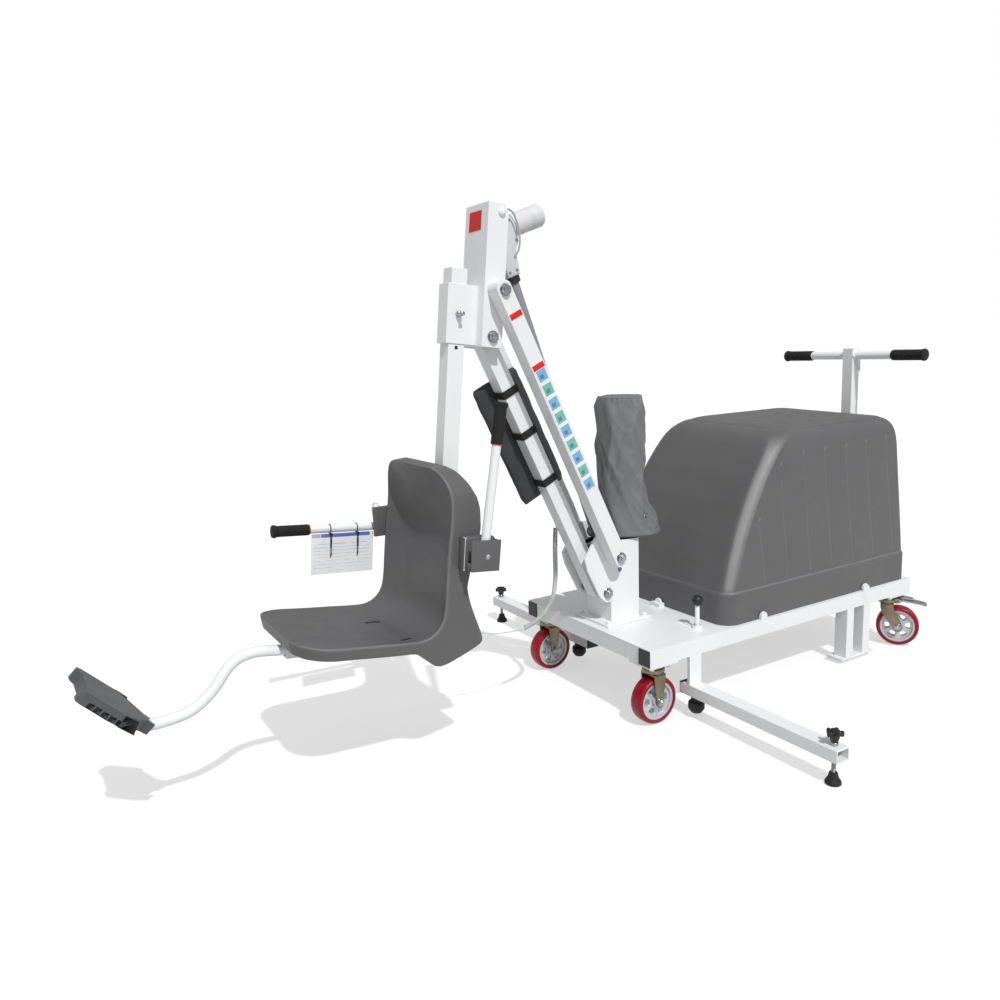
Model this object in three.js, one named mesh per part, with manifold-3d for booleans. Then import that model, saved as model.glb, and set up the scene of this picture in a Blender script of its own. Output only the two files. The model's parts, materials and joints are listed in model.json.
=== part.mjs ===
// Pool patient lift: a ballasted cart on casters, a parallel-arm crane with an electric
// actuator, and a moulded seat with armrests and a footrest. Millimetres, +Z up, seat towards -X.
import * as THREE from 'three';
import { mergeVertices } from 'three/addons/utils/BufferGeometryUtils.js';
import Module from 'manifold-3d';

const wasm = await Module();
wasm.setup();

// General clearances and cutting values
const fit = 0.3;
const over = 6;
const mergeGap = 0.0005;
const roundSides = 16;
const pinSides = 16;
const deg = Math.PI / 180;

// Cart frame: two long rails, cross rails and what is welded under them
const railLength = 1310;
const cartWidth = 668;
const railSize = 50.8;
const railWall = 3.2;
const railBottom = 204;
const deckThick = 3;
const padLength = 113;
const padWidth = 100;
const padThick = 8;
const kingpinInset = 55;
const rearKingpinInset = 68;
const kingpinSide = 285;
const midRailShare = 0.56;
const postWidth = 50;
const postThick = 12;
const postFront = 163;
const anchorPostWidth = 39;
const anchorPostGap = 55;
const anchorInset = 374;
const anchorPlateGround = 12;
const anchorPlateThick = 8;
const anchorPlateReach = 23;
const anchorPlateDepth = 66;
const anchorHole = 26;
const receiverWall = 4.5;
const receiverHeight = 124;

// Front stabiliser beams with their feet
const beamWidth = 50.8;
const beamHeight = 38.1;
const beamBottom = 72;
const nearBeamInner = 291;
const farBeamInner = 200;
const beamOuter = 878;
const beamWall = 3.2;
const screwInset = 28;
const screwRadius = 6;
const knobRadius = 24;
const knobHeight = 22;
const knobBottom = 132;
const knobHubRadius = 11;
const knobArmWidth = 12;
const footRadius = 24;
const footDiscHeight = 14;
const footHeight = 40;
const footNeckRadius = 13;
const footRimShare = 0.9;
const footWaistShare = 0.75;
const nearInnerFoot = 338;
const farInnerFoot = 285;
const innerFootGap = 16;
const innerFootRadius = 26;
const innerFootTread = 0.6;
const innerFootSlope = 14;
const innerFootWall = 36;
const innerFootNeck = 17;
const capThick = 4;
const plugDepth = 18;

// Casters
const wheelRadius = 76.2;
const wheelWidth = 50;
const treadThick = 14;
const hubWidth = 42;
const hubBossRadius = 19;
const hubBossWidth = 52;
const hubRimThick = 9;
const hubWebThick = 10;
const spokeHoleRadius = 11;
const spokeHoleCircle = 34;
const spokeHoles = 5;
const axleRadius = 6;
const axleHeadRadius = 11;
const axleHeadThick = 6;
const rearTrail = 40;
const forkLegThick = 5;
const forkLegGap = 57;
const forkLegWidth = 44;
const forkCrownThick = 7;
const legTipShare = 0.6;
const legEndShare = 0.75;
const swivelRadius = 36;
const crownRise = 6;
const pedalWidth = 46;
const pedalLength = 92;
const pedalThick = 6;
const pedalPinRadius = 5;
const pedalDrop = 20;

// Ballast cover, ballast and what sits on the deck
const coverFront = 334;
const coverRearGap = 16;
const coverHalf = 322;
const coverWall = 5;
const coverCorner = 84;
const coverHeight = 626;
const coverRows = 9;
const tabWidth = 30;
const tabRise = 14;
const tabThick = 10;
const sideTabFront = 484;
const sideTabInset = 266;
const frontTabReach = 26;
const frontTabGap = 1.5;
const ballastLength = 520;
const ballastWidth = 460;
const ballastHeight = 118;
const ballastRearGap = 90;
const leverX = 262;
const leverY = 264;
const leverRadius = 7.5;
const leverHeight = 86;
const leverBall = 18;
const leverPlay = 5;
const leverCupRadius = 18;
const leverCupHeight = 12;
const stripLength = 62;
const stripWidth = 16;
const stripThick = 5;

// Push handle
const handleTube = 44;
const handleGap = 26;
const handleCapRise = 28;
const handleBottom = 140;
const handleBarRadius = 16;
const handleBarHalf = 312;
const handleBarHeight = 1100;
const gripLength = 132;
const gripRadius = 18.5;
const gussetSize = 62;
const gussetThick = 8;

// Parallel arms
const armTube = 50.8;
const armWall = 3.2;
const armLength = 933;
const armTilt = 25.8;
const armEndOverrun = 4;
const upperPivotX = 67;
const upperPivotZ = 497;
const pivotShiftX = 15;
const pivotShiftZ = 128;
const pinRadius = 10;
const boltHeadRadius = 15;
const boltHeadThick = 8;
const spacerRadius = 18;
const armSideGap = 1.2;

// Base bracket that carries the arms
const bracketHalf = 66;
const bracketPlate = 10;
const bracketLeft = 39;
const bracketRight = 186;
const bracketBottom = 336;
const bracketTop = 592;
const footFlangeThick = 8;
const footFlangeHalf = 92;
const footFlangeFront = 30;
const footFlangeRear = 216;
const footBoxHalf = 50;
const footBoxFront = 66;
const flangeBoltRadius = 8;
const flangeBoltHeight = 7;
const shelfThick = 8;
const shelfTop = 538;
const shelfFront = 92;

// Control console on the bracket, under a fabric sleeve
const consoleX = 165;
const consoleRadius = 84;
const consoleTop = 1010;
const consoleBottom = 538.3;
const sleeveWall = 4;
const sleeveFlare = 40;
const boxDepth = 94;
const boxHalf = 46;
const boxHeight = 222;
const batteryHeight = 200;

// Fabric bag on the lower arm
const bagWidth = 184;
const bagLength = 414;
const bagThick = 34;
const bagTopGap = 137;
const bagGap = 0.3;
const bagCorner = 30;

// Head with the mast sleeve
const headTilt = 6;
const headHalf = 66;
const headPlate = 6;
const headFront = 37;
const headRear = 31;
const headBelow = 160;
const headAbove = 245;
const headChamfer = 14;
const sleeveHalf = 28.6;
const sleeveFront = 133;
const sleeveTop = 13;
const sleeveBottom = 156;
const mastOffset = 97.1;
const mastTube = 50.8;
const mastWall = 3.2;
const mastTop = 57;
const mastDepth = 1007;
const mastHoleRadius = 5.5;
const mastHoleStep = 94.4;
const mastHoleCount = 2;
const lockPinDrop = 72;
const lockPinRadius = 5;
const lockKnobRadius = 11;
const lockKnobLength = 20;
const lockCollarLength = 10;
const lockCollarRadius = 9;

// Actuator
const actuatorX = 7;
const actuatorZ = 220;
const rodEndX = 52.417;
const rodEndZ = 567.133;
const actuatorSpacer = 14;
const gearStart = 18;
const gearEnd = 182;
const gearFront = 36;
const gearRear = 48;
const gearHalf = 34;
const motorRadius = 33;
const motorStation = 49;
const motorEnd = 178;
const outerTubeRadius = 19;
const outerTubeBore = 16;
const outerTubeEnd = 695;
const collarRadius = 25;
const collarLength = 22;
const eyeRadius = 20;
const eyeHalf = 20;
const rodRadius = 15;
const rodStart = 445;
const rodEyeRadius = 21;
const rodEyeHalf = 18;
const rodPinRadius = 8;
const rodPinHalf = 27;

// Seat, seat weldment, armrests and footrest
const seatHalf = 215;
const seatSpanX = 527;
const seatSpanZ = 527;
const seatReach = 163.929;
const seatDrop = 1016.997;
const seatDishShare = 0.42;
const crossbarSize = 34;
const crossbarReach = 183.929;
const armrestDrop = 708.997;
const blockHalf = 240;
const blockThick = 16;
const blockLength = 92;
const blockHeight = 90;
const blockFrontShare = 0.57;
const blockBelowShare = 0.47;
const carrierWidth = 44;
const carrierHeight = 40;
const carrierFrontReach = 668.929;
const carrierFrontDrop = 944.997;
const carrierRearReach = 216.929;
const carrierRearDrop = 987.997;
const carrierBoreShare = 0.3;
const armrestHubRadius = 21;
const armrestHubThick = 13;
const armrestTubeRadius = 12.7;
const armrestLength = 414;
const armrestGripLength = 112;
const armrestGripRadius = 17;
const nearArmrestTilt = 10;
const farArmrestTilt = -85;
const cardLength = 194;
const cardHeight = 132;
const cardBelowShare = 1;
const cardThick = 3;
const cardStart = 106;
const footTubeRadius = 15;
const footBoardLength = 216;
const footBoardHalf = 96;
const footBoardThick = 31;
const footBoardTilt = 46;
const pocketDepth = 12;
const pocketLength = 16;
const pocketHeight = 13;
const pocketCount = 5;
const pocketFloor = 1.5;
const pocketStartShare = 0.5;
const pocketStepShare = 0.093;

// Curly cord of the hand control, a place list chosen by hand in the cart's own axes
const cordRadius = 1.7;
const curlRadius = 5.6;
const curlCount = 35;
const curlSteps = 8;
const curlSides = 5;
const cordCurlPoints = [[-77, 41, 588], [-79, 41, 560], [-81, 41, 500], [-82, 41, 424], [-94, 41, 358],
  [-127, 41, 312], [-176, 41, 284], [-209, 41, 275]];
const cordCurlShares = [0, 0, 0, 0.1, 0.25, 0.4, 0.6, 0.7];
const cordHeadPoints = [[-77, 31.5, 598], [-77, 35, 597.6], [-77, 39.5, 595], [-77, 41, 588]];
const cordTailPoints = [[-209, 41, 275], [-240, 40, 272.5], [-285, 37, 276], [-352, 30, 288],
  [-415, 20, 316], [-450, 12, 356], [-466, 10, 377], [-481, 10, 380]];
const cordTailShares = [0.7, 0.75, 0.8, 0.9, 0.96, 1, 1, 1];
const cordHeadX = -339.07;
const cordHeadZ = 1337;
const cordHeadSteps = 6;
const cordTailSteps = 20;
const glandRadius = 7;
const plugRadius = 8;

// Motor cable, points beside the gear housing as [away from the axis, across, down the axis]
const cableRadius = 3;
const cablePoints = [[20, -37.3, 28], [31, -44, -4], [44, -50, 18], [44, -50, 70], [30, -46, 112],
  [14, -37.4, 130]];

// Places worked out from the sizes above
const cartHalf = cartWidth / 2;
const railTop = railBottom + railSize;
const deckBottom = railTop + fit;
const deckTop = deckBottom + deckThick;
const floorGap = deckTop + fit;
const armTurn = -armTilt * deg;
const lowerPivotX = upperPivotX - pivotShiftX;
const lowerPivotZ = upperPivotZ - pivotShiftZ;
const headX = upperPivotX + armLength * Math.sin(armTurn);
const headZ = upperPivotZ + armLength * Math.cos(armTurn);
const pinBore = pinRadius + fit;
const headTurn = headTilt * deg;
const headPinX = -pivotShiftX * Math.cos(headTurn) + pivotShiftZ * Math.sin(headTurn);
const headPinZ = -pivotShiftX * Math.sin(headTurn) - pivotShiftZ * Math.cos(headTurn);
const screwSide = beamOuter - screwInset;
const coverRear = railLength - coverRearGap;
const ballastFront = railLength - ballastRearGap - ballastLength;
const anchorFront = railLength - anchorInset;
const sideTabRear = coverRear - sideTabInset;
const handleTop = handleBarHeight + handleCapRise;
const bagStart = armLength - bagTopGap - bagLength;
const actuatorTopX = headX + actuatorX * Math.cos(headTurn) + actuatorZ * Math.sin(headTurn);
const actuatorTopZ = headZ - actuatorX * Math.sin(headTurn) + actuatorZ * Math.cos(headTurn);
const actuatorLength = Math.hypot(rodEndX - actuatorTopX, actuatorTopZ - rodEndZ);
const actuatorTurn = -Math.atan2(rodEndX - actuatorTopX, actuatorTopZ - rodEndZ);
const seatRearX = headX - seatReach;
const seatBottomZ = headZ - seatDrop;
const crossbarX = headX - crossbarReach;
const armrestZ = headZ - armrestDrop;
const carrierFrontX = headX - carrierFrontReach;
const carrierFrontZ = headZ - carrierFrontDrop;
const carrierRearX = headX - carrierRearReach;
const carrierRearZ = headZ - carrierRearDrop;

const root = new THREE.Group();

function paint(colour, roughness, metalness) {
  return new THREE.MeshStandardMaterial({ color: colour, roughness, metalness });
}

const white = [0xf2f3f3, 0.35, 0.1];
const black = [0x1d1e20, 0.55, 0.0];
const grey = [0x5f6062, 0.6, 0.0];
const fabric = [0x6a6b6d, 0.85, 0.0];
const paper = [0xeef1f4, 0.5, 0.0];
const red = [0xc4122a, 0.45, 0.0];
const silver = [0xb9bcc0, 0.35, 0.85];
const zinc = [0xa89870, 0.4, 0.8];
const darkSteel = [0x45474a, 0.4, 0.6];
const cordGrey = [0xd6dbd6, 0.6, 0.0];

function solidOf(geometry) {
  const bare = geometry.clone();
  bare.deleteAttribute('normal');
  bare.deleteAttribute('uv');
  const merged = mergeVertices(bare, mergeGap);
  return new wasm.Manifold(new wasm.Mesh({
    numProp: 3,
    vertProperties: new Float32Array(merged.attributes.position.array),
    triVerts: new Uint32Array(merged.index.array),
  }));
}

function geometryOf(solid) {
  const mesh = solid.getMesh();
  const geometry = new THREE.BufferGeometry();
  geometry.setAttribute('position', new THREE.BufferAttribute(new Float32Array(mesh.vertProperties), 3));
  geometry.setIndex(new THREE.BufferAttribute(new Uint32Array(mesh.triVerts), 1));
  const flat = geometry.toNonIndexed();
  flat.computeVertexNormals();
  return flat;
}

function joined(...solids) {
  return solids.reduce((a, b) => a.add(b));
}

function block(x0, x1, y0, y1, z0, z1) {
  const geometry = new THREE.BoxGeometry(x1 - x0, y1 - y0, z1 - z0);
  geometry.translate((x0 + x1) / 2, (y0 + y1) / 2, (z0 + z1) / 2);
  return solidOf(geometry);
}

function rod(from, to, radius, sides = roundSides, endRadius = radius) {
  const a = new THREE.Vector3(...from);
  const b = new THREE.Vector3(...to);
  const geometry = new THREE.CylinderGeometry(endRadius, radius, a.distanceTo(b), sides);
  const turn = new THREE.Quaternion().setFromUnitVectors(
    new THREE.Vector3(0, 1, 0), b.clone().sub(a).normalize());
  geometry.applyQuaternion(turn);
  const mid = a.add(b).multiplyScalar(0.5);
  geometry.translate(mid.x, mid.y, mid.z);
  return solidOf(geometry);
}

// A flat outline in X and Z, carried from y0 to y1
function sidePlate(points, y0, y1) {
  const shape = new THREE.Shape(points.map(([x, z]) => new THREE.Vector2(x, z)));
  const geometry = new THREE.ExtrudeGeometry(shape, { depth: y1 - y0, bevelEnabled: false });
  geometry.rotateX(Math.PI / 2);
  geometry.translate(0, y1, 0);
  return solidOf(geometry);
}

// A flat outline in X and Y, carried from z0 to z1
function floorPlate(points, z0, z1) {
  const shape = new THREE.Shape(points.map(([x, y]) => new THREE.Vector2(x, y)));
  const geometry = new THREE.ExtrudeGeometry(shape, { depth: z1 - z0, bevelEnabled: false });
  geometry.translate(0, 0, z0);
  return solidOf(geometry);
}

// Rings of equal point count joined into one closed skin, with a fan at each end
function loft(rings) {
  const count = rings[0].length;
  const points = [];
  const faces = [];
  rings.forEach((ring) => ring.forEach((p) => points.push(...p)));
  for (let i = 0; i + 1 < rings.length; i += 1) {
    for (let j = 0; j < count; j += 1) {
      const a = i * count + j;
      const b = i * count + (j + 1) % count;
      faces.push(a, b, b + count, a, b + count, a + count);
    }
  }
  [0, rings.length - 1].forEach((r) => {
    const middle = [0, 1, 2].map((k) => rings[r].reduce((s, p) => s + p[k], 0) / count);
    const centre = points.length / 3;
    points.push(...middle);
    for (let j = 0; j < count; j += 1) {
      const a = r * count + j;
      const b = r * count + (j + 1) % count;
      faces.push(...(r === 0 ? [b, a, centre] : [a, b, centre]));
    }
  });
  const geometry = new THREE.BufferGeometry();
  geometry.setAttribute('position', new THREE.BufferAttribute(new Float32Array(points), 3));
  geometry.setIndex(faces);
  return solidOf(geometry);
}

function roundedRing(x0, x1, half, z, corner, steps = 5) {
  const r = Math.min(corner, half, (x1 - x0) / 2);
  const ring = [];
  [[x1 - r, half - r, 0], [x0 + r, half - r, 90], [x0 + r, r - half, 180], [x1 - r, r - half, 270]]
    .forEach(([cx, cy, start]) => {
      for (let i = 0; i <= steps; i += 1) {
        const a = (start + 90 * i / steps) * deg;
        ring.push([cx + r * Math.cos(a), cy + r * Math.sin(a), z]);
      }
    });
  return ring;
}

function ovalRing(cx, rx, ry, z, sides = 16) {
  return Array.from({ length: sides }, (_, i) => {
    const a = i / sides * 2 * Math.PI;
    return [cx + rx * Math.cos(a), ry * Math.sin(a), z];
  });
}

function bentTube(points, radius, sides = 8, steps = 20) {
  const shape = new THREE.Shape();
  shape.absarc(0, 0, radius, 0, 2 * Math.PI, false);
  const curve = new THREE.CatmullRomCurve3(points.map((p) => new THREE.Vector3(...p)), false, 'centripetal');
  return solidOf(new THREE.ExtrudeGeometry(shape, { steps, curveSegments: sides / 2, bevelEnabled: false,
    extrudePath: curve }));
}

// A round-ended bar in X and Z from z0 to z1 about the arm's own axis
function roundEnded(half, z0, z1, y0, y1, steps = 8) {
  const points = [];
  for (let i = 0; i <= steps; i += 1) {
    const a = Math.PI * i / steps;
    points.push([half * Math.cos(a), z1 - half + half * Math.sin(a)]);
  }
  for (let i = 0; i <= steps; i += 1) {
    const a = Math.PI * (1 + i / steps);
    points.push([half * Math.cos(a), z0 + half + half * Math.sin(a)]);
  }
  return sidePlate(points, y0, y1);
}

function boltHead(x, z, y0, y1) {
  return rod([x, y0, z], [x, y1, z], boltHeadRadius, 6);
}

function add(parent, name, solid, look, trusted = false) {
  if (!trusted && solid.decompose().length !== 1) {
    console.log(`${name} has ${solid.decompose().length} bodies`);
  }
  const mesh = new THREE.Mesh(geometryOf(solid), paint(...look));
  mesh.name = name;
  parent.add(mesh);
  return mesh;
}

function frameGroup(parent, x, z, turn) {
  const group = new THREE.Group();
  group.position.set(x, 0, z);
  group.rotation.y = turn;
  parent.add(group);
  return group;
}

// Cart frame
function railAt(side) {
  const outer = side * cartHalf;
  const inner = side * (cartHalf - railSize);
  return [Math.min(outer, inner), Math.max(outer, inner)];
}

const crossFronts = [0, footFlangeFront + (footFlangeRear - footFlangeFront - railSize) / 2,
  railLength * midRailShare, railLength - railSize];
const receiverHalf = handleTube / 2 + receiverWall;
const handleX = railLength + handleGap;
let frame = block(0, railLength, ...railAt(-1), railBottom, railTop);
frame = frame.add(block(0, railLength, ...railAt(1), railBottom, railTop));
crossFronts.forEach((x) => {
  frame = frame.add(block(x, x + railSize, -cartHalf + railWall, cartHalf - railWall, railBottom, railTop));
});
let hollows = block(-over, railLength - railWall, railAt(-1)[0] + railWall, railAt(-1)[1] - railWall,
  railBottom + railWall, railTop - railWall);
hollows = hollows.add(block(-over, railLength - railWall, railAt(1)[0] + railWall, railAt(1)[1] - railWall,
  railBottom + railWall, railTop - railWall));
crossFronts.forEach((x) => {
  hollows = hollows.add(block(x + railWall, x + railSize - railWall, -cartHalf + railSize / 2,
    cartHalf - railSize / 2, railBottom + railWall, railTop - railWall));
});
[-1, 1].forEach((side) => {
  const outer = side * cartHalf;
  const padInner = side * (cartHalf - padWidth);
  const padSides = [Math.min(outer, padInner), Math.max(outer, padInner)];
  frame = frame.add(block(0, padLength, ...padSides, railBottom - padThick, railBottom + railWall / 2));
  const rearPad = railLength - rearKingpinInset - padLength / 2;
  frame = frame.add(block(rearPad, rearPad + padLength, ...padSides,
    railBottom - padThick, railBottom + railWall / 2));
  const postInner = side * (cartHalf - postThick);
  frame = frame.add(block(postFront, postFront + postWidth, Math.min(outer, postInner),
    Math.max(outer, postInner), beamBottom + beamHeight + fit, railBottom + railWall / 2));
  [anchorFront, anchorFront + anchorPostWidth + anchorPostGap].forEach((x) => {
    frame = frame.add(block(x, x + anchorPostWidth, ...railAt(side),
      anchorPlateGround + anchorPlateThick / 2, railBottom + railWall / 2));
    hollows = hollows.add(block(x + railWall, x + anchorPostWidth - railWall, railAt(side)[0] + railWall,
      railAt(side)[1] - railWall, anchorPlateGround + anchorPlateThick, railBottom + railSize / 2));
  });
  const plateInner = side * (cartHalf - anchorPlateDepth);
  const plateEnd = anchorFront + 2 * anchorPostWidth + anchorPostGap + anchorPlateReach;
  const plate = block(anchorFront - anchorPlateReach, plateEnd, Math.min(outer, plateInner),
    Math.max(outer, plateInner), anchorPlateGround, anchorPlateGround + anchorPlateThick);
  const holeX = anchorFront + anchorPostWidth + anchorPostGap / 2;
  const holeY = side * (cartHalf - anchorPlateDepth / 2);
  frame = frame.add(plate.subtract(rod([holeX, holeY, anchorPlateGround - over],
    [holeX, holeY, anchorPlateGround + anchorPlateThick + over], anchorHole / 2)));
});
frame = frame.add(block(railLength - railWall / 2, handleX + handleTube + receiverWall,
  -receiverHalf, receiverHalf, railTop - receiverHeight, railTop));
hollows = hollows.add(block(handleX - fit, handleX + handleTube + fit, -handleTube / 2 - fit,
  handleTube / 2 + fit, handleBottom - fit, railTop + over));
add(root, 'cart_frame', frame.subtract(hollows), white);

// Deck plate with the cover's tabs, the latch strip and the lever's cup
const deck = (() => {
  let plate = block(0, railLength, -cartHalf, cartHalf, deckBottom, deckTop);
  [-1, 1].forEach((side) => {
    [sideTabFront, sideTabRear].forEach((x) => {
      const a = side * cartHalf;
      const b = side * (cartHalf - tabThick);
      plate = plate.add(block(x, x + tabWidth, Math.min(a, b), Math.max(a, b), deckBottom,
        deckTop + tabRise));
    });
  });
  plate = plate.add(block(coverFront - frontTabReach - fit, coverFront - frontTabGap, -tabWidth,
    tabWidth / 2,
    deckBottom, deckTop + tabRise));
  plate = plate.add(block(leverX - stripWidth / 2, leverX + stripWidth / 2, -leverY + leverCupRadius,
    -leverY + leverCupRadius + stripLength, deckBottom, deckTop + stripThick));
  plate = plate.add(rod([leverX, -leverY, deckBottom], [leverX, -leverY, deckTop + leverCupHeight],
    leverCupRadius, roundSides, leverCupRadius - leverCupHeight / 4));
  plate = plate.subtract(rod([leverX, -leverY, deckTop], [leverX, -leverY, deckTop + leverCupHeight + over],
    leverRadius + leverPlay, roundSides));
  return plate;
})();
add(root, 'deck_plate', deck, white);

[['near', -1], ['far', 1]].forEach(([label, side]) => {
  const mid = side * (cartHalf - railSize / 2);
  const half = railSize / 2;
  const plug = half - railWall - fit;
  const cap = joined(
    block(-capThick - fit, -fit, mid - half, mid + half, railBottom, railTop),
    block(-capThick, plugDepth, mid - plug, mid + plug, railBottom + half - plug, railBottom + half + plug));
  add(root, `rail_cap_${label}`, cap, black);
});

// Front stabiliser beams
const beamFront = postFront + (postWidth - beamWidth) / 2;
const screwX = beamFront + beamWidth - knobRadius / 4;
const beamMid = beamFront + beamWidth / 2;
function across(side, a, b) {
  return [Math.min(side * a, side * b), Math.max(side * a, side * b)];
}

[['near', -1, nearBeamInner, nearInnerFoot], ['far', 1, farBeamInner, farInnerFoot]]
.forEach(([label, side, beamInner, innerFoot]) => {
  const beamTop = beamBottom + beamHeight;
  const body = block(beamFront, beamFront + beamWidth, ...across(side, beamInner, beamOuter), beamBottom,
    beamTop);
  const inside = block(beamFront + beamWall, beamFront + beamWidth - beamWall,
    ...across(side, beamInner + capThick, beamOuter - beamWall), beamBottom + beamWall, beamTop - beamWall);
  const bore = rod([beamMid, side * screwSide, beamBottom - over],
    [beamMid, side * screwSide, beamTop + over],
    screwRadius + fit);
  add(root, `stabiliser_beam_${label}`, body.subtract(inside).subtract(bore), white);

  // The hand screw turns in the beam and carries its foot
  const stand = new THREE.Group();
  stand.position.set(beamMid, side * screwSide, 0);
  root.add(stand);
  let knob = rod([0, 0, footHeight - footNeckRadius + fit], [0, 0, knobBottom + knobHeight / 2], screwRadius,
    pinSides);
  knob = knob.add(rod([0, 0, knobBottom - knobHubRadius], [0, 0, knobBottom + knobHeight], knobHubRadius,
    pinSides, knobHubRadius));
  [0, 1].forEach((turn) => {
    const arm = block(-knobRadius, knobRadius, -knobArmWidth / 2, knobArmWidth / 2, knobBottom,
      knobBottom + knobHeight);
    knob = knob.add(turn ? arm.rotate([0, 0, 90]) : arm);
  });
  add(stand, `screw_knob_${label}`, knob, black);
  const socket = rod([0, 0, footHeight - footNeckRadius], [0, 0, footHeight + over], screwRadius + fit,
    pinSides);
  const foot = joined(
    rod([0, 0, 0], [0, 0, footDiscHeight], footRadius, roundSides, footRadius * footRimShare),
    rod([0, 0, footDiscHeight / 2], [0, 0, footHeight], footRadius * footWaistShare, roundSides,
      footNeckRadius));
  add(stand, `screw_foot_${label}`, foot.subtract(socket), black);
  function footPiece(low, high, lowRadius, highRadius) {
    return rod([beamMid, side * innerFoot, low], [beamMid, side * innerFoot, high], lowRadius, 10,
      highRadius);
  }
  const slopeTop = innerFootGap + innerFootSlope;
  const inner = joined(
    footPiece(innerFootGap, slopeTop + fit, innerFootRadius * innerFootTread, innerFootRadius),
    footPiece(slopeTop, innerFootGap + innerFootWall, innerFootRadius, innerFootRadius * footRimShare),
    footPiece(innerFootGap + innerFootWall - fit, beamBottom - fit, innerFootNeck, innerFootNeck));
  add(root, `inner_foot_${label}`, inner, black);
});

// Casters, each built about its own kingpin and turned as in the photograph: the front forks are fixed,
// with the axle right under the plate, and the rear ones swivel and have pedals
const casterPlaces = [
  ['front_near', kingpinInset, -1, 0, 0, false],
  ['front_far', kingpinInset, 1, 0, 0, false],
  ['rear_near', railLength - rearKingpinInset, -1, -56.5, rearTrail, true],
  ['rear_far', railLength - rearKingpinInset, 1, 40, rearTrail, true],
];
const crownBottom = 2 * wheelRadius + crownRise;
const forkTop = railBottom - padThick - fit;
casterPlaces.forEach(([label, x, side, turn, trail, braked]) => {
  const place = new THREE.Group();
  place.position.set(x, side * kingpinSide, 0);
  place.rotation.z = turn * deg;
  root.add(place);
  const legOut = forkLegGap / 2 + forkLegThick;
  let fork = rod([0, 0, crownBottom], [0, 0, forkTop], swivelRadius);
  fork = fork.add(block(-forkLegWidth / 2, forkLegWidth / 2, -legOut, legOut, crownBottom,
    crownBottom + forkCrownThick));
  [-1, 1].forEach((leg) => {
    const half = forkLegWidth / 2;
    const points = [[-half, crownBottom + forkCrownThick], [-half, crownBottom - half],
      [trail - half * legTipShare, wheelRadius - half / 2],
      [trail, wheelRadius - half * legEndShare],
      [trail + half * legTipShare, wheelRadius - half / 2], [half, crownBottom - half],
      [half, crownBottom + forkCrownThick]];
    fork = fork.add(sidePlate(points, ...across(leg, forkLegGap / 2, legOut)));
  });
  const axleEnd = legOut + axleHeadThick;
  fork = fork.add(rod([trail, -legOut, wheelRadius], [trail, legOut, wheelRadius], axleRadius,
    pinSides));
  fork = fork.add(rod([trail, -axleEnd, wheelRadius], [trail, -legOut + fit, wheelRadius],
    axleHeadRadius, 6));
  fork = fork.add(rod([trail, legOut - fit, wheelRadius], [trail, axleEnd, wheelRadius],
    axleHeadRadius, 6));
  const pedalX = swivelRadius + pedalPinRadius * 2;
  const pedalZ = forkTop - pedalDrop;
  if (braked) {
    fork = fork.add(block(0, pedalX + pedalPinRadius, -forkLegWidth / 2, -forkLegWidth / 2 + forkLegThick,
      pedalZ - pedalPinRadius, pedalZ + pedalPinRadius));
    fork = fork.add(block(0, pedalX + pedalPinRadius, forkLegWidth / 2 - forkLegThick, forkLegWidth / 2,
      pedalZ - pedalPinRadius, pedalZ + pedalPinRadius));
  }
  add(place, `caster_fork_${label}`, fork, zinc);

  const rimRadius = wheelRadius - treadThick;
  let hub = rod([trail, -hubWidth / 2, wheelRadius], [trail, hubWidth / 2, wheelRadius],
    rimRadius, 24);
  hub = hub.subtract(rod([trail, -hubWidth, wheelRadius], [trail, -hubWebThick / 2, wheelRadius],
    rimRadius - hubRimThick, 20));
  hub = hub.subtract(rod([trail, hubWebThick / 2, wheelRadius], [trail, hubWidth, wheelRadius],
    rimRadius - hubRimThick, 20));
  for (let i = 0; i < spokeHoles; i += 1) {
    const a = i / spokeHoles * 2 * Math.PI;
    const hx = trail + spokeHoleCircle * Math.cos(a);
    const hz = wheelRadius + spokeHoleCircle * Math.sin(a);
    hub = hub.subtract(rod([hx, -hubWidth, hz], [hx, hubWidth, hz], spokeHoleRadius, 6));
  }
  hub = hub.add(rod([trail, -hubBossWidth / 2, wheelRadius], [trail, hubBossWidth / 2,
    wheelRadius], hubBossRadius, 12));
  hub = hub.subtract(rod([trail, -hubBossWidth, wheelRadius], [trail, hubBossWidth,
    wheelRadius], axleRadius + fit, pinSides));
  add(place, `wheel_hub_${label}`, hub, silver);
  const halfTread = wheelWidth / 2;
  const profile = [[rimRadius + fit * 2, -halfTread], [wheelRadius - treadThick / 3, -halfTread],
    [wheelRadius, -halfTread / 2], [wheelRadius, halfTread / 2], [wheelRadius - treadThick / 3, halfTread],
    [rimRadius + fit * 2, halfTread], [rimRadius + fit * 2, -halfTread]];
  const tread = new THREE.LatheGeometry(profile.map(([r, y]) => new THREE.Vector2(r, y)), 28);
  tread.translate(trail, 0, wheelRadius);
  add(place, `wheel_tread_${label}`, solidOf(tread), red);
  if (braked) {
    const pinHalf = forkLegWidth / 2 - forkLegThick - fit;
    const pedal = joined(
      rod([pedalX, -pinHalf, pedalZ], [pedalX, pinHalf, pedalZ], pedalPinRadius, pinSides),
      sidePlate([[pedalX - pedalPinRadius, pedalZ], [pedalX, pedalZ + pedalThick],
        [pedalX + pedalLength, pedalZ - pedalThick], [pedalX + pedalLength, pedalZ - 2 * pedalThick],
        [pedalX, pedalZ - pedalThick / 2]], -pinHalf, pinHalf));
    add(place, `brake_pedal_${label}`, pedal, zinc);
  }
});

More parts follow.
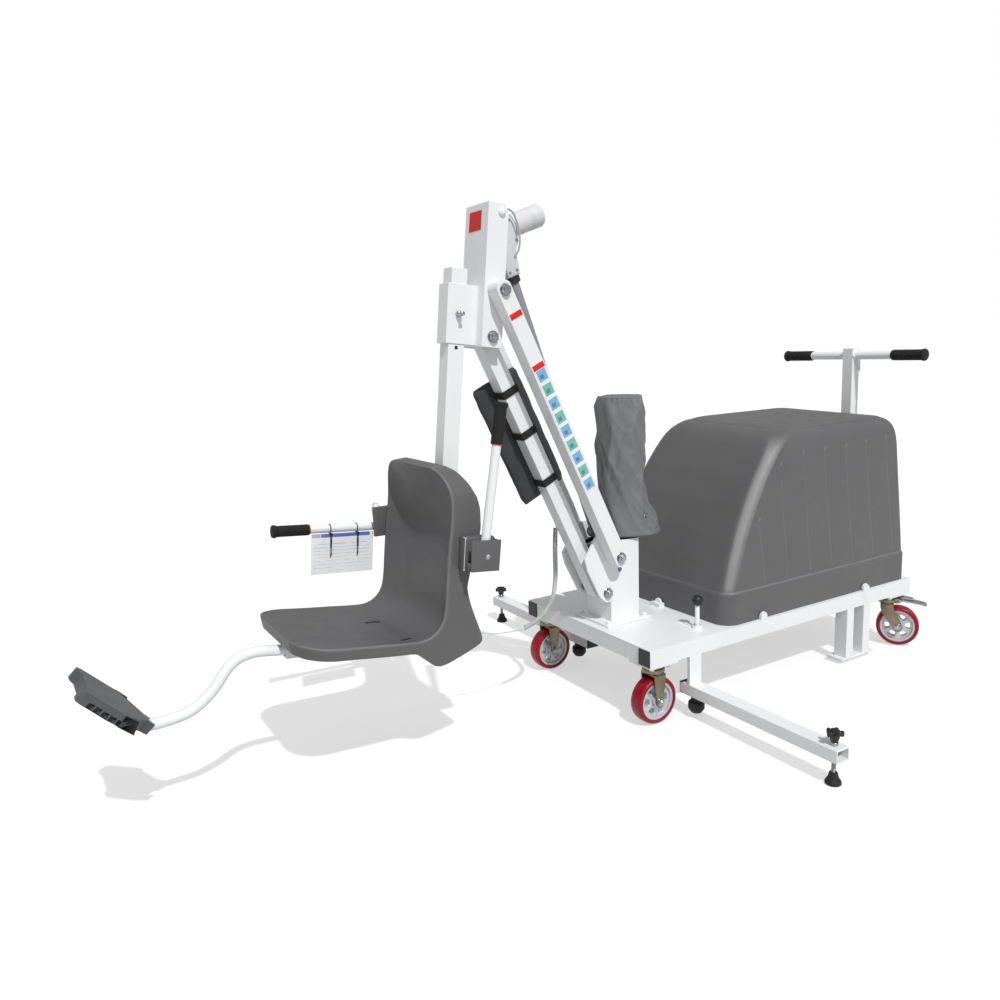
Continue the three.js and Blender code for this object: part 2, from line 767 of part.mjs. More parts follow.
// Ballast under the moulded cover
const coverShares = [
  [0, 0, 0, 1], [0, 0, 0, 1], [0.009, 0.002, 0.017, 0.85], [0.182, 0.016, 0.101, 0.55],
  [0.245, 0.026, 0.126, 0.56], [0.272, 0.034, 0.15, 0.62], [0.309, 0.053, 0.214, 0.78],
  [0.361, 0.083, 0.295, 0.86], [0.415, 0.118, 0.354, 0.84],
];
const coverHeightShares = [0, 0.158, 0.172, 0.736, 0.866, 0.923, 0.968, 0.988, 1];
const coverLength = coverRear - coverFront;
function coverRings(inset) {
  return coverShares.slice(0, coverRows).map(([front, rear, side, round], i) => {
    const z = floorGap + coverHeight * coverHeightShares[i];
    const low = inset && i === 0 ? floorGap - over : z - (inset && i > 4 ? inset : 0);
    return roundedRing(coverFront + front * coverLength + inset, coverRear - rear * coverLength - inset,
      coverHalf - side * coverHalf - inset, low, coverCorner * round - inset, 3);
  });
}
add(root, 'ballast_cover', loft(coverRings(0)).subtract(loft(coverRings(coverWall))), grey);
add(root, 'ballast_block', block(ballastFront, ballastFront + ballastLength, -ballastWidth / 2,
  ballastWidth / 2, floorGap, floorGap + ballastHeight), darkSteel);

const leverFoot = deckTop + fit + leverRadius;
const ball = new THREE.SphereGeometry(leverBall, 12, 8);
ball.rotateX(Math.PI / 2);
ball.translate(leverX, -leverY, leverFoot + leverHeight);
const leverEnd = new THREE.SphereGeometry(leverRadius, pinSides, 4);
leverEnd.rotateX(Math.PI / 2);
leverEnd.translate(leverX, -leverY, leverFoot);
add(root, 'deck_lever', joined(rod([leverX, -leverY, leverFoot], [leverX, -leverY, leverFoot + leverHeight],
  leverRadius, pinSides), solidOf(ball), solidOf(leverEnd)), black);

// Push handle with its two grips
const handleMid = handleX + handleTube / 2;
let handle = joined(
  block(handleX, handleX + handleTube, -handleTube / 2, handleTube / 2, handleBottom, handleTop),
  rod([handleMid, -handleBarHalf, handleBarHeight], [handleMid, handleBarHalf, handleBarHeight],
    handleBarRadius),
  sidePlate([[handleX, handleBarHeight], [handleX + handleTube, handleBarHeight],
    [handleX + handleTube, handleBarHeight - gussetSize]], -handleTube / 2 - gussetThick,
  -handleTube / 2 + fit),
  sidePlate([[handleX, handleBarHeight], [handleX + handleTube, handleBarHeight],
    [handleX + handleTube, handleBarHeight - gussetSize]], handleTube / 2 - fit,
  handleTube / 2 + gussetThick));
const handleHollow = block(handleX + railWall, handleX + handleTube - railWall, -handleTube / 2 + railWall,
  handleTube / 2 - railWall, handleBottom - over, handleTop - railWall);
[-1, 1].forEach((side) => {
  const end = handleBarHalf + capThick;
  handle = handle.add(rod([handleMid, side * (end - gripLength), handleBarHeight],
    [handleMid, side * end, handleBarHeight], gripRadius));
});
add(root, 'push_handle', handle.subtract(handleHollow), white);

// Base bracket
const bracketShares = [[0.37, 0.004], [0.258, 0.102], [0.049, 0.465], [0, 0.625], [0.111, 0.766],
  [0.307, 1], [0.507, 1], [0.529, 0.789], [1, 0.789], [1, 0]];
const bracketSpan = bracketRight + bracketLeft;
const bracketRise = bracketTop - bracketBottom;
const bracketOutline = bracketShares.map(([x, z]) => [-bracketLeft + x * bracketSpan,
  bracketBottom + z * bracketRise]);
let bracket = joined(
  sidePlate(bracketOutline, -bracketHalf, -bracketHalf + bracketPlate),
  sidePlate(bracketOutline, bracketHalf - bracketPlate, bracketHalf),
  block(footFlangeFront, footFlangeRear, -footFlangeHalf, footFlangeHalf, floorGap,
    floorGap + footFlangeThick),
  block(footBoxFront, bracketRight, -bracketHalf, bracketHalf, floorGap, bracketBottom),
  block(shelfFront, bracketRight, -bracketHalf, bracketHalf, bracketBottom, bracketBottom + shelfThick),
  block(shelfFront, bracketRight, -bracketHalf, bracketHalf, shelfTop - shelfThick, shelfTop - fit),
  block(bracketRight - shelfThick, bracketRight, -bracketHalf, bracketHalf, bracketBottom, shelfTop - fit));
bracket = bracket.subtract(block(footBoxFront + shelfThick, bracketRight + over, -footBoxHalf + shelfThick,
  footBoxHalf - shelfThick, floorGap + footFlangeThick, bracketBottom));
[[upperPivotX, upperPivotZ], [lowerPivotX, lowerPivotZ]].forEach(([x, z]) => {
  bracket = bracket.subtract(rod([x, -bracketHalf - over, z], [x, bracketHalf + over, z], pinBore));
});
[-1, 1].forEach((side) => [footFlangeFront + flangeBoltRadius * 2, footFlangeRear - flangeBoltRadius * 2]
  .forEach((x) => {
    const y = side * (footFlangeHalf - flangeBoltRadius * 2);
    bracket = bracket.add(rod([x, y, floorGap + footFlangeThick - fit],
      [x, y, floorGap + footFlangeThick + flangeBoltHeight], flangeBoltRadius, 6));
  }));
add(root, 'base_bracket', bracket, white);

// Pivot pins: the upper pair reaches the arms outside the plates, the lower pair stays between them
const upperReach = bracketHalf + armSideGap + armTube;
const lowerReach = bracketHalf;
function pinWithHeads(x, z, reach, spacerFrom, spacerTo, spacer = spacerRadius) {
  let pin = rod([x, -reach - fit, z], [x, reach + fit, z], pinRadius, pinSides);
  pin = pin.add(boltHead(x, z, -reach - fit - boltHeadThick, -reach - fit));
  pin = pin.add(boltHead(x, z, reach + fit, reach + fit + boltHeadThick));
  if (spacerTo > spacerFrom) {
    pin = pin.add(rod([x, -spacerTo, z], [x, -spacerFrom, z], spacer, pinSides));
    pin = pin.add(rod([x, spacerFrom, z], [x, spacerTo, z], spacer, pinSides));
  }
  return pin;
}
add(root, 'base_pin_upper', pinWithHeads(upperPivotX, upperPivotZ, upperReach, 0, 0), zinc);
add(root, 'base_pin_lower', pinWithHeads(lowerPivotX, lowerPivotZ, lowerReach, armTube / 2 + fit,
  bracketHalf - bracketPlate - fit), zinc);

// Parallel arms
function armBar(y0, y1) {
  const half = armTube / 2;
  const bar = roundEnded(half, -half - armEndOverrun, armLength + half + armEndOverrun, y0, y1);
  const inside = block(-half + armWall, half - armWall, y0 + armWall, y1 - armWall, -half / 2,
    armLength + half / 2);
  const bores = joined(
    rod([0, y0 - over, 0], [0, y1 + over, 0], pinBore),
    rod([0, y0 - over, armLength], [0, y1 + over, armLength], pinBore));
  return bar.subtract(inside).subtract(bores);
}
const upperArms = frameGroup(root, upperPivotX, upperPivotZ, armTurn);
const armInner = bracketHalf + armSideGap;
add(upperArms, 'upper_arm_near', armBar(-armInner - armTube, -armInner), white);
add(upperArms, 'upper_arm_far', armBar(armInner, armInner + armTube), white);
const lowerArm = frameGroup(root, lowerPivotX, lowerPivotZ, armTurn);
add(lowerArm, 'lower_arm', armBar(-armTube / 2, armTube / 2), white);

// Fabric bag behind the lower arm
const bagY = armTube / 2 + bagGap;
const bag = (() => {
  const rows = [[0, 0.9], [0.12, 1], [0.88, 1], [1, 0.9]];
  const rings = rows.map(([share, size]) => {
    const ring = roundedRing(-bagWidth / 2 * size, bagWidth / 2 * size, bagLength / 2 * size, 0, bagCorner,
      4);
    return ring.map(([x, y]) => [x, bagY + bagThick * share, bagStart + bagLength / 2 + y]);
  });
  return loft(rings.reverse());
})();
add(lowerArm, 'arm_bag', bag, fabric);

// Control box and battery on the bracket's shelf, under the sleeve
const boxFront = consoleX - boxDepth / 2;
add(root, 'control_box', block(boxFront, boxFront + boxDepth, -boxHalf, boxHalf, shelfTop,
  shelfTop + boxHeight), grey);
add(root, 'battery_pack', block(boxFront, boxFront + boxDepth, -boxHalf, boxHalf, shelfTop + boxHeight + fit,
  shelfTop + boxHeight + fit + batteryHeight), black);
const sleeveShares = [[0, 1], [0.1, 0.82], [0.24, 0.3], [0.36, 0.08], [0.6, 0], [0.93, 0], [0.975, -0.04],
  [1, -0.16]];
function sleeveRings(inset) {
  return sleeveShares.map(([height, flare], i) => {
    const spread = Math.max(flare, 0) * sleeveFlare;
    const shrink = Math.min(flare, 0) * consoleRadius;
    const z = consoleBottom + height * (consoleTop - consoleBottom);
    const low = inset && i === 0 ? z - over : z - (inset && height > 0.9 ? inset : 0);
    return ovalRing(consoleX + spread, consoleRadius + spread + shrink - inset,
      consoleRadius + shrink - inset, low);
  });
}
add(root, 'console_sleeve', loft(sleeveRings(0)).subtract(loft(sleeveRings(sleeveWall))), fabric);

// Head: a channel that takes both arms and the actuator, with the mast's sleeve on its front
const head = frameGroup(root, headX, headZ, headTurn);
const headOutline = [[-headFront, -headBelow], [headRear, -headBelow],
  [headRear, headAbove - headChamfer * 2],
  [headRear - headChamfer, headAbove], [-headFront, headAbove]];
let channel = sidePlate(headOutline, -headHalf, headHalf);
channel = channel.subtract(block(-headFront + headPlate, headRear + over, -headHalf + headPlate,
  headHalf - headPlate, -headBelow - over, headAbove + over));
channel = channel.add(block(-sleeveFront, -headFront + headPlate / 2, -sleeveHalf, sleeveHalf, -sleeveBottom,
  sleeveTop));
const mastFront = -mastOffset - mastTube / 2;
const mastRear = -mastOffset + mastTube / 2;
channel = channel.subtract(block(mastFront - fit, mastRear + fit, -mastTube / 2 - fit, mastTube / 2 + fit,
  -sleeveBottom - over, sleeveTop + over));
[[0, 0], [headPinX, headPinZ], [actuatorX, actuatorZ]].forEach(([x, z]) => {
  channel = channel.subtract(rod([x, -headHalf - over, z], [x, headHalf + over, z], pinBore));
});
channel = channel.subtract(rod([-mastOffset, -sleeveHalf - over, -lockPinDrop],
  [-mastOffset, -mastTube / 2, -lockPinDrop], lockPinRadius + fit, pinSides));
add(head, 'head_channel', channel, white);
add(head, 'head_pin_upper', pinWithHeads(0, 0, upperReach, 0, 0), zinc);
add(head, 'head_pin_lower', pinWithHeads(headPinX, headPinZ, headHalf, armTube / 2 + fit,
  headHalf - headPlate - fit), zinc);
add(head, 'actuator_pin', pinWithHeads(actuatorX, actuatorZ, headHalf, eyeHalf + fit,
  headHalf - headPlate - fit, actuatorSpacer), zinc);
const lockPin = joined(
  rod([-mastOffset, -mastTube / 2 - fit * 2, -lockPinDrop],
    [-mastOffset, -sleeveHalf - lockCollarLength, -lockPinDrop], lockPinRadius, pinSides),
  rod([-mastOffset, -sleeveHalf - fit, -lockPinDrop],
    [-mastOffset, -sleeveHalf - lockCollarLength, -lockPinDrop], lockCollarRadius, pinSides),
  rod([-mastOffset, -sleeveHalf - lockCollarLength + fit, -lockPinDrop],
    [-mastOffset, -sleeveHalf - lockCollarLength - lockKnobLength, -lockPinDrop], lockKnobRadius, pinSides));
add(head, 'mast_lock_pin', lockPin, black);

// Seat mast: the mast with its crossbar, armrest blocks and the footrest's carrier in one weldment
const mastPlace = new THREE.Matrix4().makeTranslation(headX, 0, headZ)
  .multiply(new THREE.Matrix4().makeRotationY(headTurn));
function placed(solid) {
  const geometry = geometryOf(solid);
  geometry.applyMatrix4(mastPlace);
  return solidOf(geometry);
}
const carrierAngle = Math.atan2(carrierFrontZ - carrierRearZ, carrierFrontX - carrierRearX);
const carrierRun = Math.hypot(carrierFrontZ - carrierRearZ, carrierFrontX - carrierRearX);
function carrierBar(half, tall, back, front) {
  const along = [Math.cos(carrierAngle), Math.sin(carrierAngle)];
  const up = [along[1], -along[0]];
  const corner = (s, t) => [carrierRearX + along[0] * s + up[0] * t,
    carrierRearZ + along[1] * s + up[1] * t];
  return sidePlate([corner(back, tall), corner(back, -tall), corner(front, -tall), corner(front, tall)]
    .reverse(), -half, half);
}
const mastGrow = fit * 2;
function mastShape(grow) {
  const half = mastTube / 2 + grow;
  return placed(block(-mastOffset - half, -mastOffset + half, -half, half, -mastDepth - grow,
    mastTop + grow));
}
function carrierShape(grow) {
  return carrierBar(carrierWidth / 2 + grow, carrierHeight / 2 + grow, -carrierHeight / 2 - grow,
    carrierRun + grow);
}
let weldment = joined(mastShape(0), carrierShape(0),
  block(crossbarX - crossbarSize / 2, crossbarX + crossbarSize / 2, -blockHalf, blockHalf,
    armrestZ - crossbarSize / 2, armrestZ + crossbarSize / 2));
[-1, 1].forEach((side) => {
  const ys = across(side, blockHalf - blockThick / 2, blockHalf + blockThick / 2);
  const corners = [[0, 0], [1, 0], [1, 1], [0, 1]].map(([a, b]) => {
    const along = (a - blockFrontShare) * blockLength;
    const up = (b - blockBelowShare) * blockHeight;
    return [crossbarX + along * Math.cos(headTurn) + up * Math.sin(headTurn),
      armrestZ + up * Math.cos(headTurn) - along * Math.sin(headTurn)];
  });
  weldment = weldment.add(sidePlate(corners, ...ys));
});
weldment = weldment.subtract(placed(block(-mastOffset - mastTube / 2 + mastWall,
  -mastOffset + mastTube / 2 - mastWall, -mastTube / 2 + mastWall, mastTube / 2 - mastWall,
  -mastDepth + mastTube, mastTop + over)));
weldment = weldment.subtract(carrierBar(footTubeRadius + fit * 2, footTubeRadius + fit * 2,
  carrierRun * carrierBoreShare, carrierRun + over));
for (let i = 0; i < mastHoleCount; i += 1) {
  const z = -lockPinDrop - i * mastHoleStep;
  weldment = weldment.subtract(placed(rod([-mastOffset, -mastTube, z], [-mastOffset, mastTube, z],
    mastHoleRadius, 12)));
}
add(root, 'seat_mast', weldment, white);

// Seat shell: stations from the top of the back round to the front edge, each with the place of its
// lip, of its rear or under side, and how much of the full width it has, all as shares
const seatShares = [
  [0.19, 1.02, 0.12, 1.035, 0.88, 0.3], [0.168, 0.982, 0.07, 1.0, 0.95, 0.6],
  [0.16, 0.873, -0.006, 0.87, 1, 0.75], [0.172, 0.727, -0.004, 0.72, 1, 0.85],
  [0.2, 0.5, 0.05, 0.52, 1, 0.8],
  [0.218, 0.359, 0.089, 0.39, 1, 0.8], [0.24, 0.245, 0.035, 0.2, 1, 0.6], [0.29, 0.19, 0.01, 0.08, 1, 0.35],
  [0.375, 0.169, 0.275, 0.0, 1, 0.4], [0.45, 0.176, 0.375, 0.1, 1, 0.6], [0.6, 0.197, 0.6, 0.138, 1, 0.9],
  [0.83, 0.23, 0.8, 0.165, 1, 0.7], [0.93, 0.255, 0.92, 0.195, 0.96, 0.4],
  [0.99, 0.258, 0.98, 0.19, 0.87, 0.15],
];
const seatCross = [[-1, 0], [-0.985, -0.012], [-0.9, 0.25], [-0.75, 0.62], [-0.5, 0.88], [-0.25, 0.97],
  [0, 1],
  [0.25, 0.97], [0.5, 0.88], [0.75, 0.62], [0.9, 0.25], [0.985, -0.012], [1, 0]];
function seatPoint(x, z) {
  return [seatRearX - x * seatSpanX, seatBottomZ + z * seatSpanZ];
}
function seatRings() {
  return seatShares.map(([lx, lz, ox, oz, wide, dish]) => {
    const lip = seatPoint(lx, lz);
    const out = seatPoint(ox, oz);
    const thick = Math.hypot(out[0] - lip[0], out[1] - lip[1]);
    const dir = [(out[0] - lip[0]) / thick, (out[1] - lip[1]) / thick];
    const half = seatHalf * wide;
    const ring = seatCross.map(([y, depth]) => {
      const deep = depth * dish * seatDishShare * thick;
      return [lip[0] + dir[0] * deep, y * half, lip[1] + dir[1] * deep];
    });
    [1, 0.96, 0.5, 0, -0.5, -0.96, -1].forEach((y, i) => {
      const round = i === 0 || i === 6 ? 0.12 : 0;
      const deep = thick * (1 - round);
      ring.push([lip[0] + dir[0] * deep, y * half, lip[1] + dir[1] * deep]);
    });
    return ring;
  });
}
const clearance = joined(mastShape(mastGrow), carrierShape(mastGrow),
  block(crossbarX - crossbarSize / 2 - mastGrow, crossbarX + crossbarSize / 2 + mastGrow, -blockHalf,
    blockHalf, armrestZ - crossbarSize / 2 - mastGrow, armrestZ + crossbarSize / 2 + mastGrow));
add(root, 'seat_shell', loft(seatRings()).subtract(clearance), grey);

// Armrests: the near one is folded up and the far one lies forward, as in the photograph
const armrestY = blockHalf + blockThick / 2 + fit;
const armrestAxis = armrestY + armrestTubeRadius;
[['near', -1, nearArmrestTilt], ['far', 1, farArmrestTilt]].forEach(([label, side, lean]) => {
  const group = frameGroup(root, crossbarX, armrestZ, lean * deg);
  const start = side * armrestAxis;
  const tube = joined(
    rod([0, side * armrestY, 0], [0, side * (armrestY + armrestHubThick * 2), 0], armrestHubRadius),
    rod([0, start, armrestHubRadius / 2], [0, start, armrestLength - armrestGripLength / 2],
      armrestTubeRadius, pinSides));
  add(group, `armrest_${label}`, tube, white);
  const grip = rod([0, start, armrestLength - armrestGripLength], [0, start, armrestLength],
    armrestGripRadius, pinSides);
  const bore = rod([0, start, armrestLength - armrestGripLength - over], [0, start,
    armrestLength - armrestGripLength / 2 + fit], armrestTubeRadius + fit, pinSides);
  add(group, `armrest_grip_${label}`, grip.subtract(bore), black);
  if (side > 0) {
    const y = start - armrestTubeRadius - fit - cardThick;
    const cardBelow = cardHeight * cardBelowShare;
    add(group, 'armrest_card', block(-cardBelow, cardHeight - cardBelow, y, y + cardThick, cardStart,
      cardStart + cardLength), paper);
  }
});

// Footrest tube and board
const tubeShares = [[0.46, 0], [0.97, 0], [1.2, 0.004], [1.3, -0.04], [1.42, -0.2], [1.53, -0.29],
  [1.69, -0.33], [1.78, -0.335]];
const tubePoints = tubeShares.map(([s, drop]) => {
  const up = [-Math.sin(carrierAngle), Math.cos(carrierAngle)];
  return [carrierRearX + Math.cos(carrierAngle) * carrierRun * s + up[0] * -drop * carrierRun, 0,
    carrierRearZ + Math.sin(carrierAngle) * carrierRun * s + up[1] * -drop * carrierRun];
});
const footTube = bentTube(tubePoints, footTubeRadius, 10, 24);
add(root, 'footrest_tube', footTube, white);
const tubeEnd = tubePoints[tubePoints.length - 1];
const boardShares = [[0, 0.2], [0.12, 0.26], [0.4, 0.97], [0.46, 1], [0.93, 1], [1, 0.93], [1, 0.66],
  [0.95, 0.5], [0.95, -0.5], [1, -0.66], [1, -0.93], [0.93, -1], [0.46, -1], [0.4, -0.97], [0.12, -0.26],
  [0, -0.2]];
let board = floorPlate(boardShares.map(([l, w]) => [-l * footBoardLength, w * footBoardHalf]).reverse(),
  -footBoardThick / 2, footBoardThick / 2);
for (let i = 0; i < pocketCount; i += 1) {
  const x = -footBoardLength * (pocketStartShare + i * pocketStepShare);
  [-1, 1].forEach((side) => {
    board = board.subtract(block(x, x + pocketLength, ...across(side, footBoardHalf - pocketDepth,
      footBoardHalf + over), -footBoardThick / 2 + pocketFloor,
      -footBoardThick / 2 + pocketFloor + pocketHeight));
  });
}
const boardGeometry = geometryOf(board);
boardGeometry.rotateY(footBoardTilt * deg);
boardGeometry.translate(tubeEnd[0] + footTubeRadius, 0, tubeEnd[2] - footTubeRadius / 2);
const tubeClear = bentTube(tubePoints, footTubeRadius + fit * 2, 10, 24);
add(root, 'footboard', solidOf(boardGeometry).subtract(tubeClear), grey);

// Actuator: its own Z runs up the axis from the rod's eye to the upper pin
const headLocal = new THREE.Vector3(actuatorX, 0, actuatorZ).applyMatrix4(mastPlace);
const actuator = frameGroup(root, headLocal.x, headLocal.z, actuatorTurn);
const gearShares = [[0.05, 0], [0.9, 0], [1, 0.1], [1, 0.45], [0.75, 0.6], [0.62, 1], [0.12, 1], [0, 0.55],
  [0, 0.12]];
const gearOutline = gearShares.map(([x, z]) => [-gearFront + x * (gearFront + gearRear),
  -gearStart - z * (gearEnd - gearStart)]);
let housing = joined(
  sidePlate(gearOutline.reverse(), -gearHalf, gearHalf),
  rod([-gearFront / 2, 0, -motorStation], [motorEnd, 0, -motorStation], motorRadius),
  rod([0, 0, -gearEnd + over], [0, 0, -outerTubeEnd], outerTubeRadius),
  rod([0, 0, -gearEnd + over], [0, 0, -gearEnd - collarLength], collarRadius),
  rod([0, -eyeHalf, 0], [0, eyeHalf, 0], eyeRadius),
  block(-eyeRadius, eyeRadius, -eyeHalf, eyeHalf, -gearStart - over, 0));
housing = housing.subtract(rod([0, 0, -gearEnd - collarLength], [0, 0, -outerTubeEnd - over],
  outerTubeBore));
housing = housing.subtract(rod([0, -eyeHalf - over, 0], [0, eyeHalf + over, 0], pinBore));
add(actuator, 'actuator_body', housing, silver);
const piston = joined(
  rod([0, 0, -rodStart], [0, 0, -actuatorLength + rodEyeRadius / 2], rodRadius),
  rod([0, -rodEyeHalf, -actuatorLength], [0, rodEyeHalf, -actuatorLength], rodEyeRadius),
  rod([0, -rodPinHalf, -actuatorLength], [0, rodPinHalf, -actuatorLength], rodPinRadius, pinSides));
add(actuator, 'actuator_rod', piston, darkSteel);
const cable = bentTube(cablePoints.map(([x, y, z]) => [x, y, -z]), cableRadius, 8, 16);
add(actuator, 'motor_cable', cable.subtract(housing), black);

// The hand control's cord: curls from a formula round the hand-chosen line, then a straight tail.
// The places were chosen with the head at the named place, and move with it by their shares.
function movedWithHead(points, shares) {
  return points.map(([x, y, z], i) => [x + (headX - cordHeadX) * shares[i], y,
    z + (headZ - cordHeadZ) * shares[i]]);
}
function lineThrough(points) {
  return new THREE.CatmullRomCurve3(points.map((p) => new THREE.Vector3(...p)), false, 'centripetal');
}
const headLine = lineThrough(cordHeadPoints);
const curlLine = lineThrough(movedWithHead(cordCurlPoints, cordCurlShares));
const tailLine = lineThrough(movedWithHead(cordTailPoints, cordTailShares));
const curlTotal = curlCount * curlSteps;
const wire = [];
for (let i = 0; i < cordHeadSteps; i += 1) {
  wire.push(headLine.getPointAt(i / cordHeadSteps));
}
for (let i = 0; i <= curlTotal; i += 1) {
  const t = i / curlTotal;
  const p = curlLine.getPointAt(t);
  const along = curlLine.getTangentAt(t);
  const sideways = new THREE.Vector3(0, 1, 0);
  const out = new THREE.Vector3().crossVectors(along, sideways).normalize();
  const ease = Math.min(1, i / curlSteps, (curlTotal - i) / curlSteps);
  const a = i / curlSteps * 2 * Math.PI;
  wire.push(p.clone().addScaledVector(out, Math.cos(a) * curlRadius * ease)
    .addScaledVector(sideways, Math.sin(a) * curlRadius * ease));
}
for (let i = 1; i <= cordTailSteps; i += 1) {
  wire.push(tailLine.getPointAt(i / cordTailSteps));
}
// The section is carried along without twist
let carried = new THREE.Vector3(0, 0, 1);
const cordRings = wire.map((p, i) => {
  const along = wire[Math.min(i + 1, wire.length - 1)].clone().sub(wire[Math.max(i - 1, 0)]).normalize();
  carried = carried.clone().addScaledVector(along, -carried.dot(along)).normalize();
  const other = new THREE.Vector3().crossVectors(along, carried);
  return Array.from({ length: curlSides }, (_, k) => {
    const a = k / curlSides * 2 * Math.PI;
    const q = p.clone().addScaledVector(carried, Math.cos(a) * cordRadius)
      .addScaledVector(other, Math.sin(a) * cordRadius);
    return [q.x, q.y, q.z];
  });
});
let selfGap = Infinity;
for (let i = 0; i < wire.length; i += 1) {
  for (let j = i + curlSteps / 2 + 1; j < wire.length; j += 1) {
    selfGap = Math.min(selfGap, wire[i].distanceTo(wire[j]) - 2 * cordRadius);
  }
}
console.log(`curly cord: least gap to itself ${selfGap.toFixed(2)} mm`);
add(root, 'hand_cord', loft(cordRings), cordGrey, true);
const topEnd = wire[0];
add(root, 'cord_gland', rod([topEnd.x, armTube / 2 + fit, topEnd.z], [topEnd.x, topEnd.y - fit, topEnd.z],
  glandRadius, pinSides), black);
// The plug ends at the mast's rear face, at the height where the cord reaches it
const lastWire = wire[wire.length - 1];
const plugDrop = (headZ - lastWire.z) / Math.cos(headTurn) - mastOffset * Math.tan(headTurn);
const mastRearX = headX - mastOffset * Math.cos(headTurn) - plugDrop * Math.sin(headTurn)
  + mastTube / 2 / Math.cos(headTurn) + plugRadius * Math.tan(headTurn);
add(root, 'cord_plug', rod([lastWire.x - fit, lastWire.y, lastWire.z], [mastRearX + fit, lastWire.y,
  lastWire.z], plugRadius, pinSides), black);

// The origin is the middle of the footprint, cord left out
root.updateMatrixWorld(true);
const bounds = new THREE.Box3();
root.traverse((item) => {
  if (item.isMesh && !['hand_cord', 'cord_gland', 'cord_plug', 'motor_cable'].includes(item.name)) {
    bounds.expandByObject(item, true);
  }
});
const middle = bounds.getCenter(new THREE.Vector3());
root.position.set(-middle.x, -middle.y, -bounds.min.z);
console.log(`moved by ${root.position.toArray().map((v) => v.toFixed(3))}`);

export default root;
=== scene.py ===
import bmesh
import bpy
import json
import math
from mathutils import Matrix, Vector, noise

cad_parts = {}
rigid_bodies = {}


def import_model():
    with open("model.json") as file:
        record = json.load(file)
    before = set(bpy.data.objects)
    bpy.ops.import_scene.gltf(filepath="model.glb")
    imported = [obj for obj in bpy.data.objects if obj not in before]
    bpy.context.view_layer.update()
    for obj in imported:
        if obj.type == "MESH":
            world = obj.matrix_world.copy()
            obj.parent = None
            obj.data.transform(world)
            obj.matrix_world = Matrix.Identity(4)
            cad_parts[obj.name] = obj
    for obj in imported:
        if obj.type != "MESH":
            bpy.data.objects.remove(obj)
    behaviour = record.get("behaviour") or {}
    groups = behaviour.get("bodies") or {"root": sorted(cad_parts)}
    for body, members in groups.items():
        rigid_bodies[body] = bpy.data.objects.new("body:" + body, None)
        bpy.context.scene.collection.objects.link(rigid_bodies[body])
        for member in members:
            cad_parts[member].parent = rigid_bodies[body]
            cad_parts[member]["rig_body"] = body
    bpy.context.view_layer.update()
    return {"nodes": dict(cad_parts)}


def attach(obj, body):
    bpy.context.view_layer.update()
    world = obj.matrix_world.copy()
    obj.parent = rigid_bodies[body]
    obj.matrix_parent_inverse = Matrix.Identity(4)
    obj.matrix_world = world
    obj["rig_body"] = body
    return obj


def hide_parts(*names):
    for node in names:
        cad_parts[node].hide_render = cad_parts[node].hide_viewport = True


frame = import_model()

# The cart's own axes are in millimetres, from the front end of the rails, before the origin's move
MM = 0.001
CART_MOVE = 68.331


SIDES = (("near", -1), ("far", 1))


def at(x, y, z):
    return Vector(((x + CART_MOVE) * MM, y * MM, z * MM))


def from_kingpin(x, y, z):
    """A place in a caster's own frame, with its kingpin on the origin."""
    return at(x - CART_MOVE, y, z)


def mirrored(sign, a, b):
    """Two distances across the cart, on the side of the sign, with the lower first."""
    return sorted((sign * a, sign * b))


class Placing:
    """A sub-frame of the cart: a place and a turn about the cross axis, in millimetres and degrees."""

    def __init__(self, x, z, turn):
        self.matrix = Matrix.Translation(at(x, 0, z)) @ Matrix.Rotation(math.radians(turn), 4, "Y")

    def __call__(self, x, y, z):
        return self.matrix @ (Vector((x, y, z)) * MM)


# The arms' base pins, their lean and length, and the head's turn with its lower pin in its own frame
UPPER_PIN, LOWER_PIN = (67, 497), (52, 369)
ARM_LEAN, ARM_LENGTH = 25.8, 933
upper_arms = Placing(*UPPER_PIN, -ARM_LEAN)
lower_arm = Placing(*LOWER_PIN, -ARM_LEAN)
HEAD_X = UPPER_PIN[0] - ARM_LENGTH * math.sin(math.radians(ARM_LEAN))
HEAD_Z = UPPER_PIN[1] + ARM_LENGTH * math.cos(math.radians(ARM_LEAN))
HEAD_TURN = 6
head = Placing(HEAD_X, HEAD_Z, HEAD_TURN)
HEAD_PIN_X = -15 * math.cos(math.radians(HEAD_TURN)) + 128 * math.sin(math.radians(HEAD_TURN))
HEAD_PIN_Z = -15 * math.sin(math.radians(HEAD_TURN)) - 128 * math.cos(math.radians(HEAD_TURN))
actuator = Placing(-309.11, 1555.06, -20.1)
CROSSBAR_X = -523
ARMREST_Z = 628
ARMREST_Y = 248.3
near_armrest = Placing(CROSSBAR_X, ARMREST_Z, 10)
FAR_TILT = -85
far_armrest = Placing(CROSSBAR_X, ARMREST_Z, FAR_TILT)
end_block = Placing(CROSSBAR_X, ARMREST_Z, 6)


